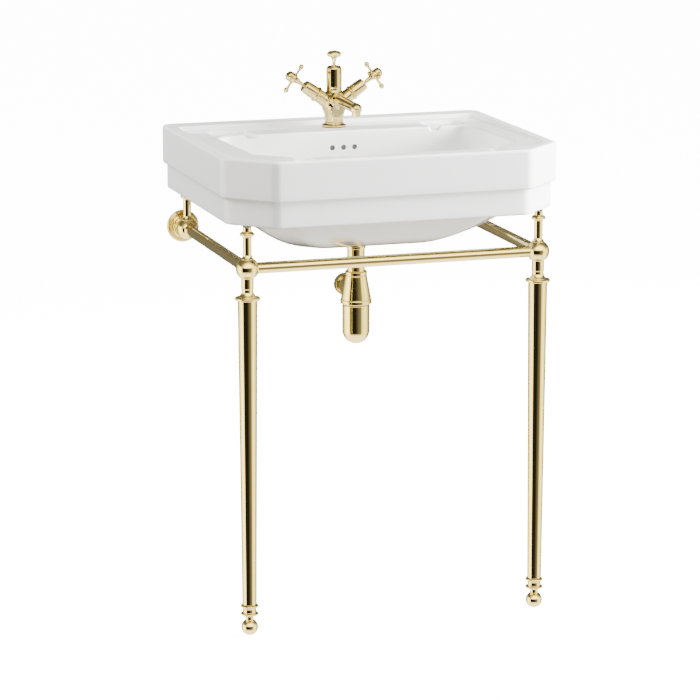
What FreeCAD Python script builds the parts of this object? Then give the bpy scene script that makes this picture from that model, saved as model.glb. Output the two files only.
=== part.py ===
"""Console basin on a two-legged brass stand, with a one-hole mixer, pop-up waste and bottle trap.

Millimetres. X runs to the viewer's right, +Y towards the wall and +Z up. The origin lies on the
floor under the middle of the basin's plan, and left is the side of -X.
"""
import FreeCAD
import Part
import math
import os

V = FreeCAD.Vector
UP = V(0, 0, 1)
DOWN = V(0, 0, -1)
TO_WALL = V(0, 1, 0)
TO_FRONT = V(0, -1, 0)
TO_RIGHT = V(1, 0, 0)
SIDES = {"left": -1, "right": 1}

# ---------------------------------------------------------------- clearances
RUNNING_FIT = 0.05          # radial, shaft in its bush
SLIP_FIT = 0.10             # radial, fixed pieces pushed together
FREE_GAP = 0.30             # between pieces that move past each other
THROUGH = 5.0               # how far a cutting tool runs past the face that it cuts

# ---------------------------------------------------------------- finish shared by the turned pieces
EDGE = 1.0                  # a broken edge
WIDE_EDGE = 2.0
ROUND = 0.2                 # bulge of a rounded edge
HOLLOW = -0.2               # bulge of a cove
DOME_BOW = 0.17             # bulge of a dome's outer half

# ---------------------------------------------------------------- basin
BASIN_WIDTH = 610.0
BASIN_DEPTH = 490.0
RIM_HEIGHT = 840.0
UPPER_TIER = 69.0           # height of the wider upper band
SKIRT_HEIGHT = 116.0        # rim to the flat underside
TIER_INSET = 8.0            # the lower band stands in by this much
CORNER_CANT = 75.0          # cut off each front corner, along both sides
VERTEX_R = 25.0             # plan rounding of the canted corners
BACK_CORNER_R = 18.0
RIM_EDGE_R = 5.0
TIER_EDGE_R = 2.5
UNDER_EDGE_R = 4.0
CHINA = 12.0                # wall thickness
RIM_STEP = 7.0              # rim above the rear deck
SIDE_RIM = 18.0             # width of the raised rim on the sides
BACK_RIM = 45.0             # width of the raised rim at the back
DECK_CORNER_R = 20.0
DECK_THICKNESS = 14.0

BOWL_SIDE_MARGIN = 67.0     # basin's side to the bowl's mouth
BOWL_FRONT_MARGIN = 38.0
BOWL_BACK_MARGIN = 140.0
BOWL_CANT = 66.0
BOWL_FLOOR_CANT = 36.0
BOWL_VERTEX_R = 34.0
BOWL_BACK_R = 30.0
BOWL_DEPTH = 167.0          # deck to floor
WALL_DEPTH = 109.0          # the steep upper part of the bowl's wall
SIDE_LEAN = 11.0            # how far the steep part leans in at the sides
FRONT_LEAN = 37.0           # and at the front
FLOOR_RUN = 98.0            # plan width of the curve into the floor
BACK_RUN = 30.0             # the same at the back
CURVE_POWER = 1.626         # roundness of that curve
CURVE_STEPS = 4

DRAIN_AHEAD = 73.0          # bowl's back edge to the drain
DRAIN_HOLE_R = 22.5
DRAIN_BOSS_R = 38.0
DRAIN_BOSS_DROP = 16.0      # floor to the boss's flat underside
TAP_FROM_WALL = 83.0
TAP_HOLE_R = 17.5
OVERFLOW_R = 5.0
OVERFLOW_PITCH = 21.0
OVERFLOW_DROP = 30.0        # deck to the holes' centres
CHANNEL_HALF_WIDTH = 27.0
CHANNEL_DEPTH = 8.0
CHANNEL_WALL = 7.0
FLOOR_CHANNEL_HALF_WIDTH = 12.0
FLOOR_CHANNEL_HEIGHT = 7.0
FLOOR_CHANNEL_COVER = 5.0   # china between the bowl's floor and the channel
DISH_OUTER_MARGIN = 65.0    # basin's side to the soap dish
DISH_WIDTH = 75.0
DISH_BEHIND = 11.0          # bowl's back edge to the dish
DISH_RUN = 54.0
DISH_DEPTH = 6.0
DISH_R = 12.0
NOTCH_WIDTH = 23.0          # groove from each dish into the bowl
WALL_HOLE_SPACING = 280.0
WALL_HOLE_R = 7.0
WALL_HOLE_DROP = 55.0       # rim to the wall holes
LANDING_LAP = 1.0           # the solid landings over the posts run this far into the side walls

# ---------------------------------------------------------------- stand
LEG_SIDE_INSET = 40.0       # basin's side to the legs' axes
LEG_FRONT_INSET = 58.0
WALL_JOINT_REACH = 34.0     # wall to the rear balls
RAIL_DROP = 74.0            # basin's underside to the rails' axes
BALL_R = 20.0
RAIL_R = 10.0
SOCKET_DEPTH = 9.0          # rail ends into each ball
TUBE_WALL = 1.5
POST_R = 7.5
POST_FLARE_R = 11.0
POST_FLARE = 10.0
POST_RING_R = 11.7
POST_RING_HEIGHT = 9.0
POST_RING_RISE = 59.5       # ball centre to the ring
POST_FLARE_BOW = -0.12
POST_RING_BOW = 0.45
POST_SPIGOT_R = 5.0
POST_SPIGOT = 10.0
PAD_THICKNESS = 2.0
NECK_R = 10.9
NECK_DROP = 33.0            # ball centre to the waist of the neck
NECK_FOOT_R = 14.9          # where the neck runs out on the collar
COLLAR_R = 21.8
COLLAR_DROP = 52.0          # ball centre to the collar's middle
COLLAR_HEIGHT = 5.0
LEG_TOP_R = 17.0
LEG_FOOT_R = 12.5
LEG_SPIGOT = 18.0
LEG_SPIGOT_PLAY = 0.5       # the leg's bore tapers over the spigot
FERRULE_RING_R = 15.35
FERRULE_WAIST_R = 12.0
FERRULE_TOP_RISE = 38.0     # foot ball centre to the upper ring
FERRULE_LOW_RISE = 24.0     # and to the lower ring
FERRULE_RING_HEIGHT = 7.0
FERRULE_SPIGOT = 20.0
FERRULE_CAP = 2.0           # closed end of the tapped hole
BEAD_BOW = 0.35
FOOT_BALL_R = 14.75
FOOT_FLAT = 0.75            # the ball is flattened where it stands
FOOT_NECK_R = 7.0
FOOT_STUD_R = 4.9
FOOT_STUD_SHORT = 15.5      # stud's end below the end of the ferrule
ROSETTE_R = 30.0
ROSETTE_LIP = 4.0
ROSETTE_CREST_R = 26.0
ROSETTE_VALLEY_R = 21.0
ROSETTE_HUB_R = 17.0
ROSETTE_DEPTH = 12.0
WALL_NECK_R = 12.0
WALL_STUD_R = 4.25          # tapped hole for the stud in the wall
WALL_STUD_DEPTH = 15.0
WALL_STUD_CLEARANCE = 1.25
GRUB_R = 2.0
GRUB_LENGTH = 4.5
GRUB_OFFSET = 14.5          # ball centre to the screw, along the rail
GRUB_HEX_R = 1.0
GRUB_HEX_DEPTH = 2.5

# ---------------------------------------------------------------- waste
WASTE_BORE_R = 16.0
WASTE_THREAD_R = 21.0
WASTE_FLANGE_R = 32.0
WASTE_FLANGE_HEIGHT = 3.0
WASTE_SEAL = 1.5
WASTE_SEAT_R = 20.5
WASTE_SEAT_DEPTH = 4.0
WASTE_FLANGE_BOW = 0.06
LOWER_SEAL = 3.0
LOWER_SEAL_R = 30.0
WASTE_NUT = 8.0
WASTE_NUT_AF = 54.0
WINDOW_HALF_WIDTH = 8.0
PLUG_R = 19.0
PLUG_HEIGHT = 5.0
PLUG_STEM_R = 4.0
PLUG_SEAL_R = 1.2
PLUG_PLAY = 3.0             # radial, plug's root in the waste
PLUG_FLARE = 6.0            # root of the head above the stem
PLUG_EDGE = 2.0
LOOP_R = 7.5
LOOP_HOLE_R = 4.2
LOOP_THICKNESS = 3.0
TAIL_R = 16.0
TAIL_WALL = 1.5
PORT_DROP = 9.0             # tail pipe's top to the lever's axis
PORT_R = 7.0
PORT_BORE_R = 5.2
LEVER_BALL_R = 5.0
LEVER_R = 2.4
PIVOT_BEHIND = 22.0         # drain's axis to the lever's ball
PIVOT_PLATE = 2.0
PIVOT_PLATE_GAP = 2.6       # lever ball centre to the nut's plate
PIVOT_HOLE_R = 4.4
PIVOT_NUT_R = 9.0
PIVOT_NUT_GRIP = 6.0
LEVER_INNER_TIP = 4.0       # past the plug's stem
LEVER_OUTER_TIP = 12.0      # past the lift link
LEVER_TIP_R = 3.0

# ---------------------------------------------------------------- lift rod
LIFT_TRAVEL = 22.0
ROD_R = 2.5
LINK_WIDTH = 12.0
LINK_THICKNESS = 3.0
LINK_BLOCK = 14.0
LINK_HOLE_R = 3.4
LINK_TAIL = 10.0            # link below the lever's axis
LINK_LENGTH = 22.0          # lever's axis to the block
KNOB_R = 13.0
KNOB_HEIGHT = 12.4
KNOB_NECK = 14.0
KNOB_NECK_R = 3.2
KNOB_ROOT_R = 6.2
KNOB_CROWN = 1.0            # last rise of the knob, over its inner half
KNOB_BOW = 0.22
KNOB_FLARE_BOW = -0.08

# ---------------------------------------------------------------- tap
TAP_SEAL = 1.5
TAP_SEAL_R = 21.5
TAP_FLANGE_R = 22.5
TAP_FLANGE = 3.0
TAP_COVE = 4.0
SHANK_R = 16.5
SHANK_BORE_R = 13.8
SHANK_LENGTH = 58.0
CLAMP_R = 24.0
CLAMP_THICKNESS = 3.0
TAP_NUT_AF = 42.0
TAP_NUT = 10.0
BODY_R = 21.8
BODY_RISE = 52.0            # body's foot to its top
BODY_TOP_R = 17.0
BODY_WAIST_R = 17.0
BODY_WAIST_RISE = 4.0       # the body's own heights, from its foot
BODY_SWELL_RISE = 23.4
BODY_SHOULDER_RISE = 36.4
TULIP_BOW = -0.06
BELLY_BOW = 0.05
SHOULDER_BOW = 0.10
CHAMBER_R = 12.5
CHAMBER_ROOF = 12.0
CHAMBER_CORNER = 4.0
ARM_RISE = 28.5             # body's foot to the arms' meeting point
ARM_ANGLE = 35.0            # above the horizontal
ARM_ROOT_R = 17.0
ARM_END_R = 12.6
ARM_LENGTH = 38.0
ARM_BOW = -0.04
ARM_BORE_R = 9.0
ARM_BORE_START = 16.0
BUTTON_R = 11.5
BUTTON_THICKNESS = 2.0
BUTTON_STANDOFF = 20.0      # tap axis to the button's seat
BUTTON_RISE = 22.5          # body's foot to the button
BUTTON_STEM_R = 5.0
BUTTON_STEM = 6.0
BUTTON_EDGE = 0.5
PILLAR_R = 14.0
PILLAR_SKIRT = 12.0
PILLAR_HEIGHT = 52.0
PILLAR_DOME = 6.0
PILLAR_SKIRT_BOW = -0.12
PILLAR_CROWN_BOW = 0.05
PILLAR_WALL = 3.0
PILLAR_SPIGOT_R = 8.0
PILLAR_SPIGOT = 6.0
SPOUT_R = 9.6
SPOUT_RISE = 44.5           # body's foot to the spout's axis over the tap's own axis
SPOUT_FALL = 3.0            # from there to the nose
SPOUT_REACH = 131.0         # tap axis to the nose
SPOUT_ROOT = 20.0           # tap axis to the end of the spout tube
SPOUT_BOSS_R = 12.5
SPOUT_BOSS = 26.0
SPOUT_BORE_R = 6.0
NOSE_BORE_R = 7.0
NOSE_R = 10.4
NOZZLE_R = 8.2
NOZZLE_BORE_R = 6.0
NOZZLE_DROP = 3.0
NOZZLE_SEAT = 5.0
SUPPLY_R = 5.0
SUPPLY_WALL = 0.8
SUPPLY_X = 8.3
SUPPLY_SPREAD = 45.0
SUPPLY_BEND_R = 24.0
SUPPLY_STRAIGHT = 4.0       # straight below the shank, before the bend
SUPPLY_HANG = 84.0          # basin's underside to the tails' open ends
SUPPLY_TOP_RISE = 8.0      # tails run up past the deck by this much

BELL_START = 38.5           # the next sizes lie along an arm, from the arms' meeting point
BELL_END = 70.0
BELL_BEAD_R = 14.3
BELL_BEAD = 5.0
BELL_R = 12.4
BELL_END_R = 11.3
BELL_BORE_R = 9.2
BELL_LID = 2.5
BELL_BEAD_BOW = 0.30
BELL_BOW = 0.02
CARTRIDGE_R = 8.9
CARTRIDGE_START = 17.0
SPINDLE_R = 2.6
SPINDLE_START = 30.0
HUB_START = 73.0
HUB_NECK_R = 3.9
HUB_R = 9.6
HUB_END = 98.0
HUB_BOW = 0.10
TRUMPET_BOW = -0.10
CROSS_AT = 93.5
CROSS_ARM_R = 3.1
CROSS_TIP_R = 2.4
CROSS_REACH = 25.0
CROSS_BALL_R = 5.3
CROSS_BOW = -0.02
CAP_R = 9.2
CAP_LENGTH = 5.0
CAP_DOME = 7.0
CAP_CROWN = 1.4             # last rise of the dome, over its inner half
CAP_STEM_R = 3.0
CAP_STEM = 4.0

# ---------------------------------------------------------------- bottle trap
TRAP_DROP = 49.0            # tail pipe's top to the top of the inlet nut
TRAP_NUT_HEIGHT = 8.0
TRAP_NUT_R = 20.0
CONE_TOP_R = 19.8
CONE_FOOT_R = 28.4
CONE_HEIGHT = 52.0
CONE_FOOT_DEPTH = 5.0
CONE_BOW = 0.10
CONE_SHOULDER = 6.0         # depth of the collar that holds the dip tube
DIP_CLEARANCE = 2.0         # dip tube to the outlet's bore
TRAP_WALL = 2.0
TAIL_OVERLAP = 12.0         # tail pipe into the cone
DIP_R = 12.0
DIP_STOP = 1.0              # dip tube's end above the cup's round bottom
CUP_R = 24.8
CUP_STRAIGHT = 49.0
CUP_SEAL = 2.0
CUP_SEAL_SHY = 0.4          # seal's edge inside the cup's
OUTLET_RISE = 23.0          # cone's foot to the outlet's axis
OUTLET_R = 17.8
OUTLET_BORE_R = 16.1
OUTLET_END = 70.0           # trap axis to the mouth of the outlet
OUTLET_NUT_R = 20.5
OUTLET_NUT = 18.0
OUTLET_SOCKET = 25.0

# ---------------------------------------------------------------- places worked out from the sizes
HALF_WIDTH = BASIN_WIDTH / 2
HALF_DEPTH = BASIN_DEPTH / 2
UNDERSIDE = RIM_HEIGHT - SKIRT_HEIGHT
DECK = RIM_HEIGHT - RIM_STEP
ROOF = DECK - DECK_THICKNESS        # of the hollow inside the skirt
BOWL_HALF_WIDTH = HALF_WIDTH - BOWL_SIDE_MARGIN
BOWL_FRONT = -HALF_DEPTH + BOWL_FRONT_MARGIN
BOWL_BACK = HALF_DEPTH - BOWL_BACK_MARGIN
BOWL_FLOOR = DECK - BOWL_DEPTH
DRAIN_Y = BOWL_BACK - DRAIN_AHEAD
TAP_Y = HALF_DEPTH - TAP_FROM_WALL
DISH_OUTER_X = HALF_WIDTH - DISH_OUTER_MARGIN
DISH_INNER_X = DISH_OUTER_X - DISH_WIDTH
DISH_FRONT_Y = BOWL_BACK + DISH_BEHIND
DISH_BACK_Y = DISH_FRONT_Y + DISH_RUN
LEG_X = HALF_WIDTH - LEG_SIDE_INSET
LANDING_R = LEG_SIDE_INSET - TIER_INSET - CHINA + LANDING_LAP
LEG_Y = -HALF_DEPTH + LEG_FRONT_INSET
WALL_JOINT_Y = HALF_DEPTH - WALL_JOINT_REACH
BALL_HEIGHT = UNDERSIDE - RAIL_DROP
BOSS_FACE = BOWL_FLOOR - DRAIN_BOSS_DROP
OFFSET_CANT = 2 - math.sqrt(2)      # a cant loses this share of every inset
NUT_FACE = BOSS_FACE - LOWER_SEAL - WASTE_NUT
TAIL_TOP = NUT_FACE
LEVER_HEIGHT = TAIL_TOP - PORT_DROP
PIVOT_Y = DRAIN_Y + PIVOT_BEHIND
INNER_ARM = PIVOT_Y - DRAIN_Y
OUTER_ARM = TAP_Y - PIVOT_Y
PLUG_TRAVEL = LIFT_TRAVEL * INNER_ARM / OUTER_ARM
BODY_FOOT = DECK + TAP_SEAL + TAP_FLANGE + TAP_COVE
BODY_TOP = BODY_FOOT + BODY_RISE
PILLAR_TOP = BODY_TOP + PILLAR_HEIGHT
SUPPLY_END = UNDERSIDE - SUPPLY_HANG
TRAP_TOP = TAIL_TOP - TRAP_DROP
CONE_TOP = TRAP_TOP - TRAP_NUT_HEIGHT
CONE_FOOT = CONE_TOP - CONE_HEIGHT
CUP_STRAIGHT_END = CONE_FOOT - CUP_STRAIGHT
DIP_END = CUP_STRAIGHT_END + DIP_STOP
OUTLET_HEIGHT = CONE_FOOT + OUTLET_RISE
FOOT_CENTRE = FOOT_BALL_R - FOOT_FLAT
LEG_TOP = BALL_HEIGHT - COLLAR_DROP - COLLAR_HEIGHT / 2
LEG_FOOT = FOOT_CENTRE + FERRULE_TOP_RISE + FERRULE_RING_HEIGHT / 2


# ---------------------------------------------------------------- helpers
def turned(profile):
    """Solid of revolution about Z.

    Each point is (radius, height) or (radius, height, bulge). The bulge bends the stretch from the
    point before it into an arc: its rise over the chord, as a share of the chord, and positive
    when it swells to the right of the direction of travel.
    """
    edges = []
    for here, there in zip(profile, profile[1:] + profile[:1]):
        start = V(here[0], 0, here[1])
        end = V(there[0], 0, there[1])
        chord = end - start
        if chord.Length < 1e-6:
            continue
        bulge = there[2] if len(there) > 2 else 0
        if bulge:
            middle = (start + end) * 0.5 + V(chord.z, 0, -chord.x) * bulge
            edges.append(Part.Arc(start, middle, end).toShape())
        else:
            edges.append(Part.LineSegment(start, end).toShape())
    return Part.Face(Part.Wire(edges)).revolve(V(0, 0, 0), UP, 360)


def crown(radius, rise):
    """Bulge of a last stretch that closes on the axis as a round crown."""
    return math.tan(math.atan(rise / radius) / 2) / 2


def placed(shape, origin, axis=UP):
    """A copy with its own Z turned onto the axis and its own origin moved to the given point."""
    turn = FreeCAD.Rotation(UP, axis)
    copy = shape.copy()
    copy.Placement = FreeCAD.Placement(origin, turn)
    return copy


def rod(radius, start, end):
    """Round bar between two points."""
    span = end - start
    return Part.makeCylinder(radius, span.Length, start, span)


def tube(outer_r, inner_r, start, end):
    """Round tube between two points."""
    return rod(outer_r, start, end).cut(rod(inner_r, start, end))


def ring(outer_r, inner_r, low, high, x=0, y=0):
    """Flat washer on a vertical axis."""
    return tube(outer_r, inner_r, V(x, y, low), V(x, y, high))


def hex_prism(across_flats, low, high):
    """Upright hexagonal bar about Z."""
    corner_r = across_flats / math.sqrt(3)
    corners = []
    for step in range(6):
        angle = math.radians(60 * step)
        corners.append(V(corner_r * math.cos(angle), corner_r * math.sin(angle), low))
    return Part.Face(Part.makePolygon(corners + corners[:1])).extrude(V(0, 0, high - low))


def hex_nut(across_flats, bore_r, low, high, y):
    """Hexagonal nut with its corners turned off, on a vertical axis."""
    corner_r = across_flats / math.sqrt(3)
    chamfer = (corner_r - across_flats / 2) * 1.2
    blank = turned([(0, low), (corner_r - chamfer, low), (corner_r, low + chamfer / 2),
                    (corner_r, high - chamfer / 2), (corner_r - chamfer, high), (0, high)])
    nut = hex_prism(across_flats, low, high).common(blank)
    nut = nut.cut(rod(bore_r, V(0, 0, low - THROUGH), V(0, 0, high + THROUGH)))
    return placed(nut, V(0, y, 0))


def block(low, high):
    """Box between two opposite corners."""
    size = high - low
    return Part.makeBox(size.x, size.y, size.z, low)


def rounded_polygon(corners, radii, height):
    """Level closed wire through the corners, each rounded by its own radius."""
    count = len(corners)
    arcs = []
    for index, corner in enumerate(corners):
        here = V(corner[0], corner[1], height)
        back = V(corners[index - 1][0], corners[index - 1][1], height) - here
        ahead = V(corners[(index + 1) % count][0], corners[(index + 1) % count][1], height) - here
        half = back.getAngle(ahead) / 2
        back.normalize()
        ahead.normalize()
        reach = radii[index] / math.tan(half)
        inward = (back + ahead).normalize()
        middle = here + inward * (radii[index] / math.sin(half) - radii[index])
        arcs.append((here + back * reach, middle, here + ahead * reach))
    edges = []
    for index, (start, middle, end) in enumerate(arcs):
        edges.append(Part.Arc(start, middle, end).toShape())
        edges.append(Part.LineSegment(end, arcs[(index + 1) % count][0]).toShape())
    return Part.Wire(edges)


def basin_plan(half_width, front, back, cant, vertex_r, back_r, height):
    """The basin's plan: square at the wall, canted at the front corners."""
    corners = [(-half_width, back), (-half_width, front + cant), (-half_width + cant, front),
               (half_width - cant, front), (half_width, front + cant), (half_width, back)]
    radii = [back_r, vertex_r, vertex_r, vertex_r, vertex_r, back_r]
    return rounded_polygon(corners, radii, height)


def prism(wire, rise):
    """Upright solid on a level wire."""
    return Part.Face(wire).extrude(V(0, 0, rise))


def edges_at(shape, height):
    """Edges that lie wholly at one height."""
    found = []
    for edge in shape.Edges:
        box = edge.BoundBox
        if abs(box.ZMin - height) < 1e-4 and abs(box.ZMax - height) < 1e-4:
            found.append(edge)
    return found


def mirrored(shape):
    """The same piece on the other side of the basin."""
    return shape.mirror(V(0, 0, 0), TO_RIGHT)


# ---------------------------------------------------------------- basin
def basin_tier(inset, low, high):
    """One band of the skirt, its back flat on the wall."""
    return prism(basin_plan(HALF_WIDTH - inset, -HALF_DEPTH + inset, HALF_DEPTH,
                            CORNER_CANT - inset * OFFSET_CANT, VERTEX_R, BACK_CORNER_R, low), high - low)


def basin_outside():
    """The two bands with softened edges."""
    step = RIM_HEIGHT - UPPER_TIER
    upper = basin_tier(0, step, RIM_HEIGHT)
    upper = upper.makeFillet(RIM_EDGE_R, edges_at(upper, RIM_HEIGHT))
    upper = upper.makeFillet(TIER_EDGE_R, edges_at(upper, step))
    lower = basin_tier(TIER_INSET, UNDERSIDE, step + TIER_EDGE_R)
    lower = lower.makeFillet(UNDER_EDGE_R, edges_at(lower, UNDERSIDE))
    return upper.fuse(lower)


def skirt_hollow():
    """The space inside the skirt, open below, less the landings over the posts."""
    inset = TIER_INSET + CHINA
    hollow = prism(basin_plan(HALF_WIDTH - inset, -HALF_DEPTH + inset, HALF_DEPTH - CHINA,
                              CORNER_CANT - inset * OFFSET_CANT, VERTEX_R, BACK_CORNER_R,
                              UNDERSIDE - THROUGH), ROOF - UNDERSIDE + THROUGH)
    for side in SIDES.values():
        for y in (LEG_Y, WALL_JOINT_Y):
            landing = rod(LANDING_R, V(side * LEG_X, y, UNDERSIDE - THROUGH), V(side * LEG_X, y, ROOF))
            hollow = hollow.cut(landing)
    return hollow


def deck_recess():
    """Cut that leaves the raised rim: level behind the bowl, rising to the rim at the front."""
    reach = HALF_WIDTH - SIDE_RIM
    back = HALF_DEPTH - BACK_RIM
    top = RIM_HEIGHT + THROUGH
    slope = [V(-reach, back, DECK), V(-reach, BOWL_BACK, DECK), V(-reach, BOWL_FRONT, RIM_HEIGHT),
             V(-reach, BOWL_FRONT, top), V(-reach, back, top)]
    wedge = Part.Face(Part.makePolygon(slope + slope[:1])).extrude(V(2 * reach, 0, 0))
    plan = prism(basin_plan(reach, BOWL_FRONT - SIDE_RIM, back, CORNER_CANT - SIDE_RIM * OFFSET_CANT,
                            VERTEX_R, DECK_CORNER_R, DECK), top - DECK)
    return wedge.common(plan)


def bowl_section(depth, inset, wall, tilt):
    """Level outline of the bowl at a depth, with an inset share and the china's own thickness."""
    lean = min(depth / WALL_DEPTH, 1.0)
    outward = wall * math.cos(tilt)
    half_width = BOWL_HALF_WIDTH - SIDE_LEAN * lean - FLOOR_RUN * inset + outward
    front = BOWL_FRONT + FRONT_LEAN * lean + FLOOR_RUN * inset - outward
    back = BOWL_BACK - BACK_RUN * inset + outward
    cant = BOWL_CANT + (BOWL_FLOOR_CANT - BOWL_CANT) * (lean + inset) / 2 + outward * OFFSET_CANT
    height = DECK - depth - wall * math.sin(tilt)
    return basin_plan(half_width, front, back, cant, BOWL_VERTEX_R, BOWL_BACK_R, height)


def bowl_form(wall, mouth):
    """Loft of the bowl: a steep upper wall, then a round sweep into the flat floor.

    The mouth is how far it runs up past the deck, or less than zero where it stops short of it.
    """
    sections = []
    deck_depth = [0] if mouth > 0 else []
    for depth in [-mouth] + deck_depth + [WALL_DEPTH / 2, WALL_DEPTH]:
        sections.append(bowl_section(max(depth, 0), 0, wall, 0))
        sections[-1].translate(V(0, 0, max(-depth, 0)))
    for step in range(1, CURVE_STEPS + 1):
        tilt = math.pi / 2 * step / CURVE_STEPS
        inset = 1 - math.cos(tilt) ** CURVE_POWER if step < CURVE_STEPS else 1
        drop = (BOWL_DEPTH - WALL_DEPTH) * math.sin(tilt) ** CURVE_POWER
        sections.append(bowl_section(WALL_DEPTH + drop, inset, wall, tilt))
    return Part.makeLoft(sections, True, False)


def overflow_jacket():
    """China round the overflow channel, behind the bowl and under its floor."""
    behind = BOWL_BACK + CHINA
    half = CHANNEL_HALF_WIDTH + CHANNEL_WALL
    back = behind + CHANNEL_DEPTH + CHANNEL_WALL
    upright = block(V(-half, BOWL_BACK + CHINA / 2, BOSS_FACE), V(half, back, ROOF))
    floor_half = FLOOR_CHANNEL_HALF_WIDTH + CHANNEL_WALL
    inside = BOWL_FLOOR - FLOOR_CHANNEL_COVER / 2
    level = block(V(-floor_half, DRAIN_Y, BOSS_FACE), V(floor_half, back, inside))
    boss = rod(DRAIN_BOSS_R, V(0, DRAIN_Y, BOSS_FACE), V(0, DRAIN_Y, inside))
    return upright.fuse([level, boss])


def overflow_channel():
    """The way from the three holes down to the side of the drain hole."""
    behind = BOWL_BACK + CHINA
    top = BOWL_FLOOR - FLOOR_CHANNEL_COVER
    low = top - FLOOR_CHANNEL_HEIGHT
    holes_at = DECK - OVERFLOW_DROP
    channel = block(V(-CHANNEL_HALF_WIDTH, behind, low),
                    V(CHANNEL_HALF_WIDTH, behind + CHANNEL_DEPTH, holes_at + 2 * OVERFLOW_R))
    level = block(V(-FLOOR_CHANNEL_HALF_WIDTH, DRAIN_Y, low),
                  V(FLOOR_CHANNEL_HALF_WIDTH, behind + CHANNEL_DEPTH, top))
    holes = []
    for step in (-1, 0, 1):
        x = step * OVERFLOW_PITCH
        holes.append(rod(OVERFLOW_R, V(x, BOWL_BACK - THROUGH, holes_at),
                         V(x, behind + CHANNEL_DEPTH / 2, holes_at)))
    return channel.fuse([level] + holes)


def soap_dish():
    """Right-hand soap dish with its groove into the bowl."""
    floor = DECK - DISH_DEPTH
    corners = [(DISH_INNER_X, DISH_FRONT_Y), (DISH_OUTER_X, DISH_FRONT_Y),
               (DISH_OUTER_X, DISH_BACK_Y), (DISH_INNER_X, DISH_BACK_Y)]
    pocket = prism(rounded_polygon(corners, [DISH_R] * 4, floor), DISH_DEPTH + THROUGH)
    groove = block(V(DISH_INNER_X, BOWL_BACK - THROUGH, floor),
                   V(DISH_INNER_X + NOTCH_WIDTH, DISH_FRONT_Y + DISH_R, DECK + THROUGH))
    return pocket.fuse(groove)


def basin_slice(low, high):
    """Block over the whole plan between two heights."""
    return block(V(-HALF_WIDTH - THROUGH, -HALF_DEPTH - THROUGH, low),
                 V(HALF_WIDTH + THROUGH, HALF_DEPTH + THROUGH, high))


def make_basin_deck():
    """Top slab of the china, above the roof of the hollow, with rim, dishes and tap hole."""
    deck = basin_outside().common(basin_slice(ROOF, RIM_HEIGHT + THROUGH))
    dish = soap_dish()
    cuts = [deck_recess(), bowl_form(0, RIM_STEP + THROUGH), dish, mirrored(dish)]
    cuts.append(rod(TAP_HOLE_R, V(0, TAP_Y, ROOF - THROUGH), V(0, TAP_Y, RIM_HEIGHT)))
    for tool in cuts:
        deck = deck.cut(tool)
    return deck.removeSplitter()


def skirt_ring():
    """The two bands of the skirt below the slab, with the landings over the posts."""
    return basin_outside().cut(skirt_hollow()).common(basin_slice(UNDERSIDE - THROUGH, ROOF))


def make_basin_skirt():
    """Skirt of the china with its two wall holes."""
    skirt = skirt_ring()
    height = RIM_HEIGHT - WALL_HOLE_DROP
    for side in SIDES.values():
        x = side * WALL_HOLE_SPACING / 2
        skirt = skirt.cut(rod(WALL_HOLE_R, V(x, HALF_DEPTH - CHINA - THROUGH, height),
                              V(x, HALF_DEPTH + THROUGH, height)))
    return skirt.removeSplitter()


def make_basin_bowl():
    """Bowl of the china below the slab, with drain boss and overflow channel."""
    bowl = bowl_form(CHINA, -DECK_THICKNESS / 2).fuse(overflow_jacket())
    bowl = bowl.common(basin_slice(BOSS_FACE - THROUGH, ROOF))
    drain = V(0, DRAIN_Y, 0)
    cuts = [bowl_form(0, THROUGH), overflow_channel(), skirt_ring()]
    cuts.append(rod(DRAIN_HOLE_R, drain + UP * (BOSS_FACE - THROUGH), drain + UP * (BOWL_FLOOR + THROUGH)))
    for tool in cuts:
        bowl = bowl.cut(tool)
    return bowl.removeSplitter()


# ---------------------------------------------------------------- stand
def make_post(height):
    """Turned post from the ball's crown to the pad, about Z with the ball's centre at zero."""
    crown = math.sqrt(BALL_R ** 2 - POST_FLARE_R ** 2)
    low = POST_RING_RISE - POST_RING_HEIGHT / 2
    high = POST_RING_RISE + POST_RING_HEIGHT / 2
    fillet_r = (POST_RING_R + POST_R) / 2
    return turned([(0, crown - POST_SPIGOT), (POST_SPIGOT_R, crown - POST_SPIGOT), (POST_SPIGOT_R, crown),
                   (POST_FLARE_R, crown), (POST_R, crown + POST_FLARE, POST_FLARE_BOW), (POST_R, low),
                   (fillet_r, low + EDGE), (fillet_r, high - EDGE, POST_RING_BOW), (POST_R, high),
                   (POST_R, height), (0, height)])


def socket_cuts(axes):
    """Rail sockets and screw holes of a ball at the origin, one pair for each rail direction."""
    cuts = []
    for axis in axes:
        floor = BALL_R - SOCKET_DEPTH
        cuts.append(rod(RAIL_R + SLIP_FIT, axis * floor, axis * (BALL_R + THROUGH)))
        hole = axis * GRUB_OFFSET
        cuts.append(rod(GRUB_R, hole + DOWN * RAIL_R, hole + DOWN * BALL_R))
    return cuts


def post_socket():
    """Hole in a ball's crown for the post's spigot."""
    crown = math.sqrt(BALL_R ** 2 - POST_FLARE_R ** 2)
    return turned([(0, crown - POST_SPIGOT), (POST_SPIGOT_R + SLIP_FIT, crown - POST_SPIGOT),
                   (POST_SPIGOT_R + SLIP_FIT, crown), (POST_FLARE_R + SLIP_FIT, crown),
                   (POST_FLARE_R + SLIP_FIT, BALL_R + THROUGH), (0, BALL_R + THROUGH)])


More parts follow.
